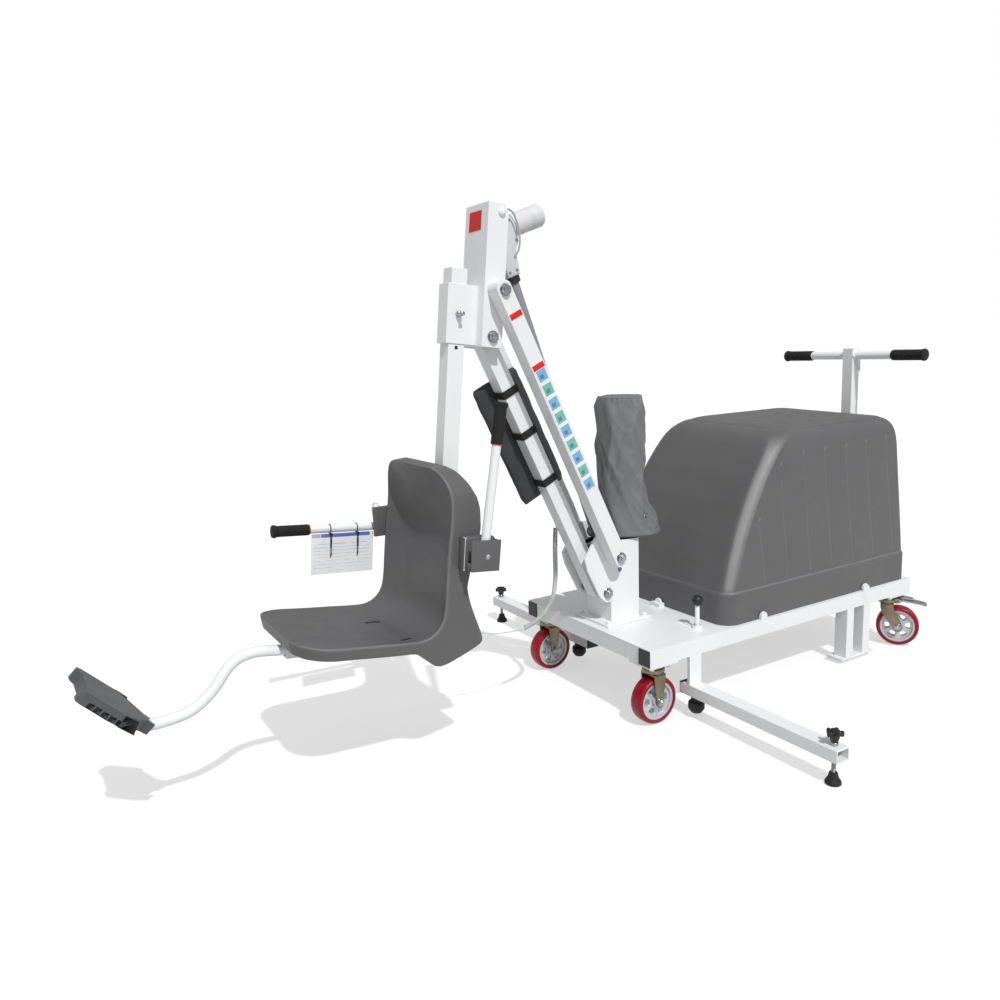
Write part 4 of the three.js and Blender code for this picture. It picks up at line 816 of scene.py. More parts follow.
def fork_parts(trail):
    sides = []
    for sign in (-1, 1):
        rows = []
        for y in mirrored(sign, 28.6, 33.4):
            rows.append([from_kingpin(x, y, z) for x, z in (TRAILING_LEG if trail else FIXED_LEG)])
        sides.append(eased(lofted(rows), 1.4, 2))
    crown = eased(slab((-23, -33.4, 159.5), (23, 33.4, 165.6), from_kingpin), 2, 3)
    race = turned([(0, 165), (30, 165), (34, 167.5), (36, 172), (36, 179), (34.5, 182), (31, 183.2),
                   (31, 186), (34.6, 187), (34.6, 191), (30, 195.5), (0, 195.5)],
                  from_kingpin(0, 0, 0), from_kingpin(0, 0, 1), 56)
    body = joined(crown, race, *sides)
    axle = [bar(from_kingpin(trail, -33, WHEEL_RADIUS), from_kingpin(trail, 33, WHEEL_RADIUS), 6, 24)]
    for sign in (-1, 1):
        def out(y):
            return from_kingpin(trail, sign * y, WHEEL_RADIUS)
        axle.append(eased(bar(out(33.4), out(35), 13, 32), 0.4, 1))
        axle.append(hex_head(out(35), out(42), 11))
        axle.append(turned([(0, 0), (6, 0), (6, 2), (4.8, 3.2), (0, 3.4)], out(41.5), out(60), 24))
    return body, joined(*axle)


def pedal_parts():
    tread = [(42, 170.5), (41, 176), (46, 181), (58, 181.6), (100, 177), (128, 172), (136, 169),
             (139, 165.4), (137.5, 162.4), (133, 162), (118, 165.4), (80, 170.8), (55, 172)]
    rows = [[from_kingpin(x, y, z) for x, z in tread] for y in (-16.8, 16.8)]
    pad = eased(lofted(rows), 1.2, 2)
    release = [(50, 180), (47, 186), (52, 191), (60, 191.6), (84, 188), (92, 184.6), (93, 181.6),
               (88, 180.6), (72, 182)]
    rows = [[from_kingpin(x, y, z) for x, z in release] for y in (-11.5, 11.5)]
    flap = eased(lofted(rows), 1.1, 2)
    ribs = []
    for i in range(8):
        x, z = 92 + i * 5.4, 179.4 - i * 1.12
        ribs.append(eased(slab((x - 1.2, -14, z - 1.6), (x + 1.2, 14, z + 1), from_kingpin), 0.5, 1))
    pin = bar(from_kingpin(46, -22, 175.7), from_kingpin(46, 22, 175.7), 4.6, 20)
    return joined(pad, flap, pin, *ribs)


def pedal_lugs():
    lugs = []
    for y in (-19.6, 19.6):
        outline = [(18, 166), (16, 182), (30, 186), (46, 182.5), (52, 175.7), (48, 169), (36, 166)]
        rows = [[from_kingpin(x, y + dy, z) for x, z in outline] for dy in (-2.2, 2.2)]
        lugs.append(eased(lofted(rows), 1, 1))
    return joined(*lugs)


def casters():
    fixed = (*wheel_parts(0), *fork_parts(0))
    trailing = (*wheel_parts(REAR_TRAIL), *fork_parts(REAR_TRAIL))
    pedal = pedal_parts()
    lugs = pedal_lugs()
    corners = (("front_near", FRONT_KINGPIN, -KINGPIN_Y, 0), ("front_far", FRONT_KINGPIN, KINGPIN_Y, 0),
               ("rear_near", REAR_KINGPIN, -KINGPIN_Y, -56.5), ("rear_far", REAR_KINGPIN, KINGPIN_Y, 40))
    for label, x, y, turn in corners:
        rear = label.startswith("rear")
        tread, hub, bearing, fork, axle = trailing if rear else fixed
        move = Matrix.Translation(at(x, y, 0)) @ Matrix.Rotation(math.radians(turn), 4, "Z")
        wheel, swivel = "wheel_" + label, "fork_" + label if rear else "base"
        finished(copied(tread, move), "tyre_" + label, wheel, TREAD,
                 ["wheel_tread_" + label], 40)
        finished(copied(hub, move), "wheel_centre_" + label, wheel, HUB,
                 ["wheel_hub_" + label], 40)
        finished(copied(bearing, move), "bearing_" + label, wheel, DARK_STEEL)
        finished(copied(fork, move), "yoke_" + label, swivel, FORK, ["caster_fork_" + label], 40)
        finished(copied(axle, move), "axle_" + label, swivel, STEEL, (), 40)
        if rear:
            finished(copied(lugs, move), "pedal_lugs_" + label, swivel, FORK, (), 40)
            finished(copied(pedal, move), "pedal_" + label, "pedal_" + label, STEEL,
                     ["brake_pedal_" + label], 40)
    for pattern in (*fixed, *trailing, pedal, lugs):
        bpy.data.objects.remove(pattern)


casters()


# Ballast cover: a smooth moulded shell with a step at its foot, side grooves and a lid crease.
# Each row: height share, front and rear in millimetres along the cart, half width, front corner radius
COVER_ROWS = [(0, 334, 1293, 322, 58), (0.158, 335, 1294, 321.4, 56), (0.166, 337, 1293.4, 320, 54),
              (0.175, 343, 1291, 316.6, 50), (0.3, 368, 1290, 310.5, 44), (0.45, 407, 1288, 303, 43),
              (0.6, 456, 1285, 295.6, 43), (0.736, 508, 1281, 290, 43), (0.81, 541, 1278, 287.4, 44),
              (0.866, 568, 1275, 284, 46), (0.91, 590, 1271, 279, 52), (0.94, 609, 1266, 272, 58),
              (0.962, 629, 1259, 263, 62), (0.978, 650, 1250, 253, 64), (0.99, 679, 1238, 241, 66),
              (0.997, 708, 1225, 231, 66), (1, 731, 1211, 222, 64)]
COVER_FOOT, COVER_TALL = 258.4, 626
SIDE_STEPS, CORNER_STEPS, END_STEPS = 216, 12, 30
# Each groove leans from its foot's place to its head's, and ends at a height
GROOVES = ((523, 505, 590), (637, 618, 762), (755, 733, 792), (869, 843, 793), (985, 960, 796),
           (1102, 1074, 800), (1222, 1193, 804))


def between_rows(rows, level):
    for low, high in zip(rows, rows[1:]):
        if level <= high[0]:
            share = (level - low[0]) / (high[0] - low[0])
            return [a + (b - a) * share for a, b in zip(low, high)]
    return rows[-1]


def cover_path(x0, x1, half, front_curl, rear_curl):
    """Places round a ring with the way each faces."""
    ahead, behind = x0 + front_curl, x1 - rear_curl
    spots = [(ahead + (x1 - x0 - front_curl - rear_curl) * i / SIDE_STEPS, -half, 0, -1)
             for i in range(SIDE_STEPS)]
    corners = ((behind, rear_curl - half, rear_curl, -90), (behind, half - rear_curl, rear_curl, 0),
               (ahead, half - front_curl, front_curl, 90), (ahead, front_curl - half, front_curl, 180))
    for cx, cy, r, start in corners:
        for i in range(CORNER_STEPS):
            a = math.radians(start + 90 * i / CORNER_STEPS)
            spots.append((cx + r * math.cos(a), cy + r * math.sin(a), math.cos(a), math.sin(a)))
        if start == -90:
            spots += [(x1, -half + r + (half - r) * 2 * i / END_STEPS, 1, 0) for i in range(END_STEPS)]
        if start == 0:
            spots += [(x1 - r - (x1 - x0 - front_curl - r) * i / SIDE_STEPS, half, 0, 1)
                      for i in range(SIDE_STEPS)]
        if start == 90:
            spots += [(x0, half - r - (half - r) * 2 * i / END_STEPS, -1, 0) for i in range(END_STEPS)]
    return spots


def cover_ring(level, inset=0.0):
    _, x0, x1, half, curl = between_rows(COVER_ROWS, level)
    z = COVER_FOOT + COVER_TALL * level
    ring, paleness = [], []
    for x, y, nx, ny in cover_path(x0 + inset, x1 - inset, half - inset, curl, 34 - 4 * level):
        depth, pale = 0.0, 0.0
        if abs(ny) > 0.999 and level > 0.17 and not inset:
            for low, high, top in GROOVES:
                line = low + (high - low) * (z - 355) / (top - 355)
                fade = min(max((top - z) / 6, 0), 1)
                groove = fade * math.exp(-((x - line) / 2.8) ** 2)
                pip = math.exp(-(math.hypot(x - high, z - top - 1) / 4.4) ** 2)
                heel = math.exp(-(math.hypot(x - low, z - 364) / 6.5) ** 2)
                depth += 2.4 * groove - 2.4 * pip + 2.6 * heel
                pale = max(pale, 0.3 * groove, 0.85 * pip)
        # Painted highlight: a pale stripe down the rounded front corners where the sun's reflection falls,
        # narrower towards the foot.
        if nx < -0.12 and abs(ny) > 0.12 and 0.165 < level < 0.965 and not inset:
            middle = 1 - abs(abs(ny) - 0.72) / (0.2 + 0.24 * min(level / 0.7, 1))
            fade = min((level - 0.165) / 0.03, (0.965 - level) / 0.1, 1)
            pale = max(pale, min(max(middle, 0) * 1.7, 1) * fade)
        if abs(ny) > 0.5 and 0.168 < level < 0.178:
            pale = max(pale, 0.35)
        swell = 0 if inset else 1.3 * noise.noise(Vector((x, y, z)) / 210)
        crease = 0 if inset else 2.6 * math.exp(-((level - 0.9885) / 0.0022) ** 2)
        depth += crease * 0.5
        ring.append(at(x - nx * (depth - swell), y - ny * (depth - swell), z - crease))
        paleness.append(pale)
    return ring, paleness


def cover():
    levels = [0, 0.05, 0.1, 0.14, 0.158, 0.162, 0.166, 0.169, 0.172, 0.175, 0.178, 0.183]
    levels += [0.19 + 0.7 * i / 66 for i in range(67)]
    levels += [0.9, 0.91, 0.92, 0.93, 0.94, 0.951, 0.962, 0.97, 0.978, 0.982, 0.9845, 0.986, 0.987,
               0.988, 0.9885, 0.989, 0.99, 0.991, 0.9925, 0.994, 0.997, 1]
    inner_levels = (0.992, 0.96, 0.88, 0.5, 0.166, 0)
    rings, paleness = [], []
    for level in inner_levels:
        ring, _ = cover_ring(level, 5)
        for place in ring:
            place.z -= 0.005 if level > 0.8 else 0
        rings.append(ring)
        paleness.append([0.0] * len(ring))
    for level in levels:
        ring, pale = cover_ring(level)
        rings.append(ring)
        paleness.append(pale)
    top = rings[-1]
    middle = sum(top, Vector()) / len(top)
    for share, drop in ((0.96, -0.0004), (0.6, -0.0008), (0.2, -0.001)):
        rings.append([middle.lerp(p, share) - Vector((0, 0, drop)) for p in top])
        paleness.append([0.0] * len(top))
    # The top falls a little towards the near side and the front
    for ring in rings[len(inner_levels):]:
        for p in ring:
            rise = min(max((p.z - 0.8) / 0.084, 0), 1)
            p.z += rise * (0.024 * p.y + 0.008 * (p.x - 1.02))
    shell = lofted(rings)
    with_paleness(shell, paleness)
    finished(shell, "cover_shell", "cover", GREY, ["ballast_cover"], 50)


cover()


def deck_fittings():
    """The lever in its cup and the cover's small round tabs."""
    x, y, pivot = 262, -264, 265.9
    foot = [(7.3 * math.sin(a), pivot - 7.3 * math.cos(a)) for a in (math.pi * k / 16 for k in range(9))]
    stem = turned(foot + [(7.4, 268), (7.4, 334), (6.4, 336), (0, 336)], at(x, y, 0), at(x, y, 1), 32)
    finished(stem, "lever_stem", "lever", WHITE, ["deck_lever"], 40)
    profile = [(0, -18)] + [(18 * math.cos(math.radians(a)), 18 * math.sin(math.radians(a)))
                            for a in range(-80, 81, 8)] + [(0, 18)]
    ball = turned(profile, at(x, y, 351.9), at(x, y, 400), 40)
    finished(ball, "lever_ball", "lever", BLACK, (), 60)
    for i, (tx, ty) in enumerate(((499, -333), (1039, -333), (499, 333), (1039, 333), (313, -7))):
        inward = -math.copysign(1, ty)
        if i == 4:
            tab = turned([(0, 0), (16, 0), (16, 4), (14.5, 5.5), (0, 5.5)], at(tx + 13, ty, 270),
                         at(tx - 10, ty, 275.5), 32)
        else:
            tab = turned([(0, 0), (15, 0), (15, 8), (13.5, 9.5), (0, 9.5)], at(tx, ty, 268),
                         at(tx, ty + inward * 20, 272), 32)
        finished(tab, f"cover_tab_{i}", "base", WHITE, (), 40)


deck_fittings()


# Push handle
HANDLE_X = 1358


def push_handle():
    softened("push_handle", "handle_weldment", WHITE, 2.4, 0.5, 44)
    ribs = [(0, -1), (17, -1), (19.6, 1.5)]
    for i in range(22):
        z = 4 + i * 5.4
        ribs += [(19.8, z), (20.4, z + 1.8), (20.4, z + 3), (19.4, z + 4.4)]
    ribs += [(20.2, 124), (22.6, 126), (22.8, 131), (21, 134.5), (15, 136.5), (0, 137)]
    for label, sign in SIDES:
        grip = turned(ribs, at(HANDLE_X, sign * 184, 1100), at(HANDLE_X, sign * 400, 1100), 40)
        finished(grip, "handle_grip_" + label, "push_handle", FOAM, (), 50)
    bead = swept([at(HANDLE_X + 22.3 * a, 22.3 * b, 255.4) for a, b in
                  ((-1, -1), (1, -1), (1, 1), (-1, 1))], 1.8, 8, True)
    finished(bead, "receiver_edge", "base", WHITE)
    bolt = hex_head(at(1384.5, 0, 205), at(1392.5, 0, 205), 11)
    finished(bolt, "receiver_bolt", "base", STEEL)


push_handle()


# Pivot pins with washers and nuts
def pivot_pin(name, place, x, z, reach, body, node, spacers=None):
    parts = [bar(place(x, -reach, z), place(x, reach, z), 9.9, 32)]
    for sign in (-1, 1):
        def out(y):
            return place(x, sign * y, z)
        parts.append(eased(bar(out(reach - 0.2), out(reach + 2.2), 18, 40), 0.5, 1))
        parts.append(hex_head(out(reach + 2.2), out(reach + 12), 16, 1.8))
        parts.append(turned([(0, 0), (9.4, 0), (9.4, 3), (8, 4.6), (0, 5)], out(reach + 11.5),
                            out(reach + 40), 28))
    pin = finished(joined(*parts), name, body, STEEL, [node], 40)
    if spacers:
        sleeves = []
        for sign in (-1, 1):
            sleeves.append(eased(bar(place(x, sign * spacers[0], z), place(x, sign * spacers[1], z),
                                     spacers[2], 40), 0.8, 2))
        finished(joined(*sleeves), name + "_spacers", body, DARK_STEEL)
    return pin


def crane():
    softened("base_bracket", "arm_bracket", WHITE, 1.6, 0.5, 40)
    for side, _ in SIDES:
        softened("upper_arm_" + side, "arm_" + side, WHITE, 3.2, 0.5, 60)
    softened("lower_arm", "arm_lower", WHITE, 3.2, 0.5, 60)
    softened("head_channel", "head_weldment", WHITE, 1.8, 0.5, 40)
    pivot_pin("pin_base_upper", at, *UPPER_PIN, 118, "base", "base_pin_upper")
    pivot_pin("pin_base_lower", at, *LOWER_PIN, 66, "base", "base_pin_lower", (25.8, 55.6, 17.8))
    pivot_pin("pin_head_upper", head, 0, 0, 118, "head", "head_pin_upper")
    pivot_pin("pin_head_lower", head, HEAD_PIN_X, HEAD_PIN_Z, 66, "head", "head_pin_lower",
              (25.8, 59.6, 17.8))
    actuator_pin_piece()
    # Coloured marks on the near arm and the head, in plain shapes
    marks = []
    for start in (847.5, 683.5):
        marks.append(slab((-21, -118.9, start), (21, -118.2, start + 17), upper_arms))
    finished(joined(*marks), "arm_bands", "upper_arms", RED_PLATE)
    backing = slab((-21, -118.7, 262), (21, -118.15, 682), upper_arms)
    finished(backing, "arm_strip", "upper_arms", strip_finish())
    plate = eased(slab((-37.9, -28, 170), (-37.1, 41, 225), head), 0.3, 1)
    finished(plate, "head_plate", "head", RED_PLATE)
    dot = eased(bar(at(104, -66, 441), at(104, -67.2, 441), 8, 32), 0.3, 1)
    finished(dot, "bracket_dot", "base", BLUE)
    # Flange bolts and the bracket's side bolts, a dark disc that paints the shade in the mast's pin hole
    # below the sleeve, and the mast sleeve's seams
    bolts = []
    for sign in (-1, 1):
        for x in (46, 200):
            bolts.append(bar(at(x, sign * 76, 266.4), at(x, sign * 76, 268.4), 12, 28))
            bolts.append(hex_head(at(x, sign * 76, 268.4), at(x, sign * 76, 276), 9.4))
    bolts += [hex_head(at(126, sign * 66, 486), at(126, sign * 73, 486), 9.5) for sign in (-1, 1)]
    finished(joined(*bolts), "bracket_bolts", "base", WHITE)
    hole = bar(head(-97.1, -24.9, -166.4), head(-97.1, -25.7, -166.4), 5.4, 24)
    finished(hole, "mast_hole_shade", "seat", PAINTED_HOLE_SHADE)
    welds = []
    for y in (-29, 29):
        run = [head(-37.5, y, -155), head(-37.2, y * 1.02, -80), head(-37.5, y, 12)]
        welds.append(swept(curve_through(run, 30), 2.2, 8))
    finished(joined(*welds), "sleeve_welds", "head", WHITE)
    sleeve_gussets()
    lock_pin()


def actuator_pin_piece():
    """The actuator's upper pin, with spacers inside the head and a small white dome on each end."""
    parts = [bar(head(7, -66, 220), head(7, 66, 220), 9.9, 32)]
    caps = []
    for sign in (-1, 1):
        parts.append(eased(bar(head(7, sign * 20.4, 220), head(7, sign * 59.6, 220), 13.8, 40), 0.8, 2))
        caps.append(turned([(0, 0), (11.6, 0), (12, 0.8), (11.8, 3), (10.2, 6), (6.4, 8.4), (0, 9.4)],
                           head(7, sign * 65.8, 220), head(7, sign * 90, 220), 36))
    finished(joined(*parts), "pin_actuator", "head", DARK_STEEL, ["actuator_pin"], 40)
    finished(joined(*caps), "actuator_pin_caps", "head", WHITE, (), 60)


def sleeve_gussets():
    """Thin plates that close the wedge between the mast sleeve and the head's cheeks."""
    outline = [(-38, 8), (-38, -157), (-14, -157), (-22, -116), (-33, -62)]
    plates = []
    for low, high in ((-31, -27.4), (27.4, 31)):
        plates.append(eased(lofted([[head(x, y, z) for x, z in outline] for y in (low, high)]), 0.6, 1))
    finished(joined(*plates), "sleeve_gussets", "head", WHITE)


def lock_pin():
    x, z = -97.1, -72
    collar = turned([(5.2, 0), (9.2, 0), (9.2, 8.5), (8, 9.7), (5.2, 9.7)], head(x, -28.9, z),
                    head(x, -60, z), 28)
    knob = turned([(0, 0), (7.4, 0), (8, 0.8), (8, 3.4), (6, 4.4), (5, 6), (5, 14), (6.4, 15.4),
                   (6.4, 18.4), (4.6, 20), (0, 20.6)], head(x, -38, z), head(x, -60, z), 32)
    shaft = bar(head(x, -26.2, z), head(x, -39, z), 4.8, 20)
    finished(joined(collar, shaft), "lock_pin_collar", "lock_pin", STEEL, (), 40)
    finished(knob, "lock_pin_knob", "lock_pin", STEEL, ["mast_lock_pin"], 40)


def strip_finish():
    """Blocks of blue and green between pale gaps along the arm, a plain pattern."""
    finish = Finish("coloured strip", (232, 236, 240), 0.3, **{"Coat Weight": 0.4})
    lean = math.radians(ARM_LEAN)
    x, _, z = finish.axes()
    centre = upper_arms(0, 0, 0)
    along = (z - centre.z) * math.cos(lean) - (x - centre.x) * math.sin(lean)
    across = (x - centre.x) * math.cos(lean) + (z - centre.z) * math.sin(lean)
    pitch = 0.04725
    step = (along - 0.262) % pitch
    double = (along - 0.262) % (2 * pitch)
    inside = step.between(0.006, 0.0412) * across.between(-0.0165, 0.0165)
    leaf = step.between(0.013, 0.026) * across.between(-0.010, 0.004) * inside
    block = finish.mix(double.over(pitch), (120, 178, 214), (112, 190, 168))
    marked = finish.mix(leaf * 0.8, block, (58, 108, 164))
    finish.painted(finish.mix(inside, (236, 239, 242), marked))
    return finish.raised(finish.grain(60, 2), 0.06, 0.0005)


BLUE = moulded("blue dot", (70, 116, 186), (60, 104, 172), 1500)
crane()


# Actuator: gear housing, motor, outer tube and rod
def actuator_pieces():
    def up(station):
        return actuator(0, 0, -station)
    outline = [(-31.8, 18), (39.6, 18), (48, 34.4), (48, 91.8), (27, 116.4), (16, 182), (-26, 182),
               (-36, 108), (-36, 37.7)]
    rows = [[actuator(x, y, -s) for x, s in outline] for y in (-34, -30, 30, 34)]
    for row in (rows[0], rows[3]):
        centre = sum(row, Vector()) / len(row)
        row[:] = [centre.lerp(p, 0.93) for p in row]
    housing = eased(lofted(rows), 3, 3)
    boss = eased(bar(actuator(0, -20, 0), actuator(0, 20, 0), 20, 48), 1, 2)
    neck = eased(slab((-20, -20, -24), (20, 20, 0), actuator), 1, 2)
    motor = turned([(0, 0), (33.5, 0), (33.5, 112), (32.4, 114), (32.4, 118), (34, 120), (34, 161),
                    (32, 165.5), (26, 167), (11, 167.6), (11, 172), (9, 174), (0, 174.4)],
                   actuator(-4, 0, -49), actuator(100, 0, -49), 56)
    seam = turned([(34, 0), (37, 0), (37, 6), (34, 6), (34, 0)], actuator(52, 0, -49),
                  actuator(100, 0, -49), 56)
    screws = []
    for y in (-34.2, 34.2):
        for x, s in ((-26, 28), (34, 28), (38, 88), (-28, 100), (8, 168), (-18, 168)):
            screws.append(eased(bar(actuator(x, y, -s), actuator(x, y * 1.05, -s), 4, 20), 0.5, 1))
    finished(joined(housing, boss, neck, motor, seam), "gear_motor", "actuator",
             ENAMEL, ["actuator_body"], 40)
    finished(joined(*screws), "housing_screws", "actuator", STEEL)
    collar = turned([(19, 0), (25, 0), (26, 2), (26, 20), (24, 23), (19, 24)], up(180), up(400), 48)
    finished(collar, "tube_collar", "actuator", BLACK)
    tube = turned([(16, 178), (19, 178), (19, 692), (18, 695), (16, 695), (16, 178)], up(0), up(100), 48)
    finished(tube, "outer_tube", "actuator", DARK_ENAMEL, (), 40)
    wiper = turned([(15.4, 690), (20.4, 690), (20.8, 693), (20.8, 700), (18, 703), (15.4, 703)],
                   up(0), up(100), 40)
    finished(wiper, "tube_wiper", "actuator", BLACK, (), 40)
    rod = bar(up(450), up(1036), 15, 48)
    eye = turned([(0, -18), (19.5, -18), (21, -16), (21, 16), (19.5, 18), (0, 18)],
                 actuator(0, 0, -1052), actuator(0, 100, -1052), 48)
    pin = eased(bar(actuator(0, -27, -1052), actuator(0, 27, -1052), 8, 32), 0.8, 1)
    finished(joined(rod, eye, pin), "push_rod", "rod", DARK_STEEL, ["actuator_rod"], 40)


DARK_ENAMEL = moulded("tube enamel", (150, 153, 158), (138, 141, 146), 1500)
actuator_pieces()


# Console: box, battery and the cloth sleeve over them
SLEEVE_ROWS = [(0, 1), (0.1, 0.82), (0.24, 0.3), (0.36, 0.08), (0.6, 0), (0.93, 0), (0.975, -0.04),
               (1, -0.12)]
SLEEVE_FOOT, SLEEVE_TOP, SLEEVE_RADIUS = 538.3, 1010, 84


def ripple(x, y, z):
    return noise.noise(Vector((x, y, z)))


def crest(x, y, z, sharp):
    """Noise folded at zero, which gives narrow crests like the folds of cloth."""
    return 1 - abs(ripple(x, y, z)) * sharp


def sleeve_ring(level, sides=240):
    _, flare = between_rows(SLEEVE_ROWS, level)
    spread, shrink = max(flare, 0) * 40, min(flare, 0) * SLEEVE_RADIUS
    z = SLEEVE_FOOT + level * (SLEEVE_TOP - SLEEVE_FOOT)
    ring = []
    for j in range(sides):
        a = 2 * math.pi * j / sides
        height = level * 4.6
        twist = a - level * 1.9
        fold = crest(math.cos(twist) * 1.25, math.sin(twist) * 1.25, height * 0.3, 2.2)
        other = a + level * 2.6
        slant = crest(math.cos(other) * 1.7, math.sin(other) * 1.7, height * 0.34 + 7, 2.4)
        fine = ripple(math.cos(a) * 3.4, math.sin(a) * 3.4, height * 1.5)
        gather = 1.3 * math.sin(a * 23 + 3 * math.sin(a * 3)) * min(max((level - 0.94) / 0.04, 0), 1)
        calm = min(level / 0.05, 1) * min((1 - level) / 0.07, 1)
        push = (9.5 * fold + 7 * slant + 1.6 * fine - 10.8) * (0.3 + 0.7 * calm) + gather
        hem = 1.1 if level < 0.035 or level > 0.985 else 0
        r = SLEEVE_RADIUS + shrink - 3 + push + hem
        rx = r + spread
        sag = -9 * math.cos(a - 0.5) * max(0, 1 - level * 5)
        lift = 4 * ripple(math.cos(a) * 1.3, math.sin(a) * 1.3, 3.0) if level > 0.97 else 0
        ring.append(at(165 + spread * 0.9 + rx * math.cos(a), r * math.sin(a),
                       z + min(lift, 0) + max(sag, 0)))
    return ring


def console():
    softened("control_box", "control_case", BLACK, 2, 0.5, 40)
    softened("battery_pack", "battery_case", BLACK, 2, 0.5, 40)
    levels = [0, 0.012, 0.024, 0.034, 0.037] + [0.04 + 0.9 * i / 140 for i in range(141)]
    levels += [0.95, 0.96, 0.97, 0.978, 0.984, 0.987, 0.992, 0.996, 1]
    rings = [sleeve_ring(level) for level in levels]
    top = rings[-1]
    middle = sum(top, Vector()) / len(top)
    for share in (0.985, 0.95, 0.88, 0.78, 0.65, 0.5, 0.35, 0.2, 0.08):
        ring = []
        for p in top:
            q = middle.lerp(p, share)
            dip = 0.006 * (1 - share) + 0.004 * ripple(q.x * 22, q.y * 22, 5) * (1 - share)
            q.z = p.z * share + middle.z * (1 - share) - dip - 0.0015
            ring.append(q)
        rings.append(ring)
    cloth = lofted(rings, first_closed=False)
    with_modifier(cloth, "SOLIDIFY", thickness=0.0012, offset=-1)
    finished(cloth, "console_cloth", "base", SLEEVE, ["console_sleeve"], 0)
    smoothed(cloth)
    grommet = turned([(3.4, 0), (8, 0), (8.4, 0.8), (7, 2), (4.4, 2.2), (3.4, 1.4), (3.4, 0)],
                     at(201, -84, 614), at(203, -100, 612), 28)
    finished(grommet, "sleeve_grommet", "base", STEEL, (), 50)


console()


# Bag on the lower arm, with its straps and seams
def bag():
    rings = []
    rows, sides = 110, 150
    for i in range(rows + 1):
        t = (1 - math.cos(math.pi * i / rows)) / 2 * 0.5 + 0.5 * i / rows
        s = 384 + 410 * t
        end = min(1, (t / 0.06) ** 0.5 if t < 0.06 else 1, ((1 - t) / 0.04) ** 0.5 if t > 0.96 else 1)
        end = max(end, 0.02)
        ring = []
        for j in range(sides):
            a = 2 * math.pi * j / sides
            cx, cy = math.cos(a), math.sin(a)
            squarish = 1 / (abs(cx) ** 3.2 + abs(cy) ** 3.2) ** (1 / 3.2)
            belly = 1 + 0.22 * math.exp(-((t - 0.28) / 0.24) ** 2)
            crease = ripple(cx * 1.6, cy * 1.6, t * 5.2) * 4.2
            crease += crest(cx * 2.8 + t * 3, cy * 2.8, t * 6 + 4, 2.4) * 2.6
            x = cx * squarish * (84 * (0.9 + 0.1 * end) + crease * 0.6)
            y = 43.5 + cy * squarish * (14.5 * belly * end + crease * (0.75 if cy > 0 else 0.12))
            ring.append(lower_arm(x, max(y, 26), s))
        rings.append(ring)
    body = lofted(rings)
    finished(body, "cloth_bag", "lower_arm", BAG_IN_PAINTED_SHADE, ["arm_bag"], 0)
    smoothed(body)
    straps = []
    for s in (440, 610, 752):
        loop = [(-28, -27), (28, -27), (28.6, 26.8), (-28.6, 26.8)]
        rows = []
        for x, y in loop:
            out = (x * 1.045, y * 1.05)
            rows.append([lower_arm(x, y, s - 12), lower_arm(x, y, s + 12), lower_arm(*out, s + 12),
                         lower_arm(*out, s - 12)])
        strap = outward(lofted(rows + [rows[0]], False, False), 0.00001)
        straps.append(eased(strap, 0.4, 1))
    finished(joined(*straps), "bag_straps", "lower_arm", WEBBING)
    seam = []
    for s, y in ((404, 62), (776, 58.5)):
        run = [lower_arm(x, y, s + 3 * math.sin(x / 30)) for x in range(-78, 79, 6)]
        seam.append(swept(run, 1.0, 8))
    finished(joined(*seam), "bag_seams", "lower_arm", WEBBING)


bag()


# Seat: stations from the top of the back round to the front edge, in millimetres along and up the cart.
# Each is the lip's place, the rear or under side's place and how deep the seat is dished there
SEAT_STATIONS = [
    (-601, 858, -557, 862, 0), (-597, 846, -541, 848, 5), (-591, 818, -522, 815, 15),
    (-587, 785, -506, 778, 24), (-588, 745, -499, 742, 30), (-595, 690, -500, 690, 34),
    (-604, 630, -513, 640, 34), (-612, 565, -537, 580, 32), (-618, 510, -551, 530, 30),
    (-624, 470, -541, 480, 27), (-634, 443, -523, 425, 25), (-648, 427, -507, 378, 23),
    (-656, 421, -505, 368, 22), (-666, 415, -516, 360, 20), (-684, 410, -590, 335, 17),
    (-700, 409, -645, 319, 15), (-706, 409, -653, 320, 15), (-716, 410, -672, 336, 14),
    (-732, 412, -698, 371, 14), (-742, 413, -712, 376, 14), (-770, 417, -760, 381, 13),
    (-820, 424, -812, 388, 12), (-880, 432, -872, 397, 10), (-940, 441, -930, 405, 7),
    (-985, 449, -975, 411, 4), (-1012, 454.5, -1004, 415.5, 2), (-1031, 458.5, -1025, 421, 0)]
SEAT_HALF, SEAT_TOP_CURL, SEAT_FRONT_CURL = 215, 96, 96


def rounded_value(values, spot):
    """A value between list entries, on a smooth curve through them."""
    i = min(int(spot), len(values) - 2)
    t = spot - i
    a = values[max(i - 1, 0)]
    b, c = values[i], values[i + 1]
    d = values[min(i + 2, len(values) - 1)]
    return b + 0.5 * t * (c - a + t * (2 * a - 5 * b + 4 * c - d + t * (3 * (b - c) + d - a)))


def seat_runs():
    """Stations with the distance along the lip from the top of the back."""
    columns = list(zip(*SEAT_STATIONS))
    count = (len(SEAT_STATIONS) - 1) * 10
    runs, travelled, last = [], 0.0, None
    for i in range(count + 1):
        spot = i / 10
        k = min(int(spot), len(SEAT_STATIONS) - 2)
        lip = (rounded_value(columns[0], spot), rounded_value(columns[1], spot))
        out = [columns[n][k] + (columns[n][k + 1] - columns[n][k]) * (spot - k) for n in (2, 3)]
        dish = rounded_value(columns[4], spot)
        if last:
            travelled += math.dist(lip, last)
        last = lip
        runs.append((travelled, *lip, *out, max(dish, 0)))
    return runs


def seat_station(runs, travelled):
    for low, high in zip(runs, runs[1:]):
        if travelled <= high[0]:
            share = (travelled - low[0]) / (high[0] - low[0])
            return [a + (b - a) * share for a, b in zip(low, high)][1:]
    return list(runs[-1][1:])


def seat_dish(y, half, dish):
    return dish * max(1 - min(abs(y) / half, 1) ** 3, 0) ** 0.85


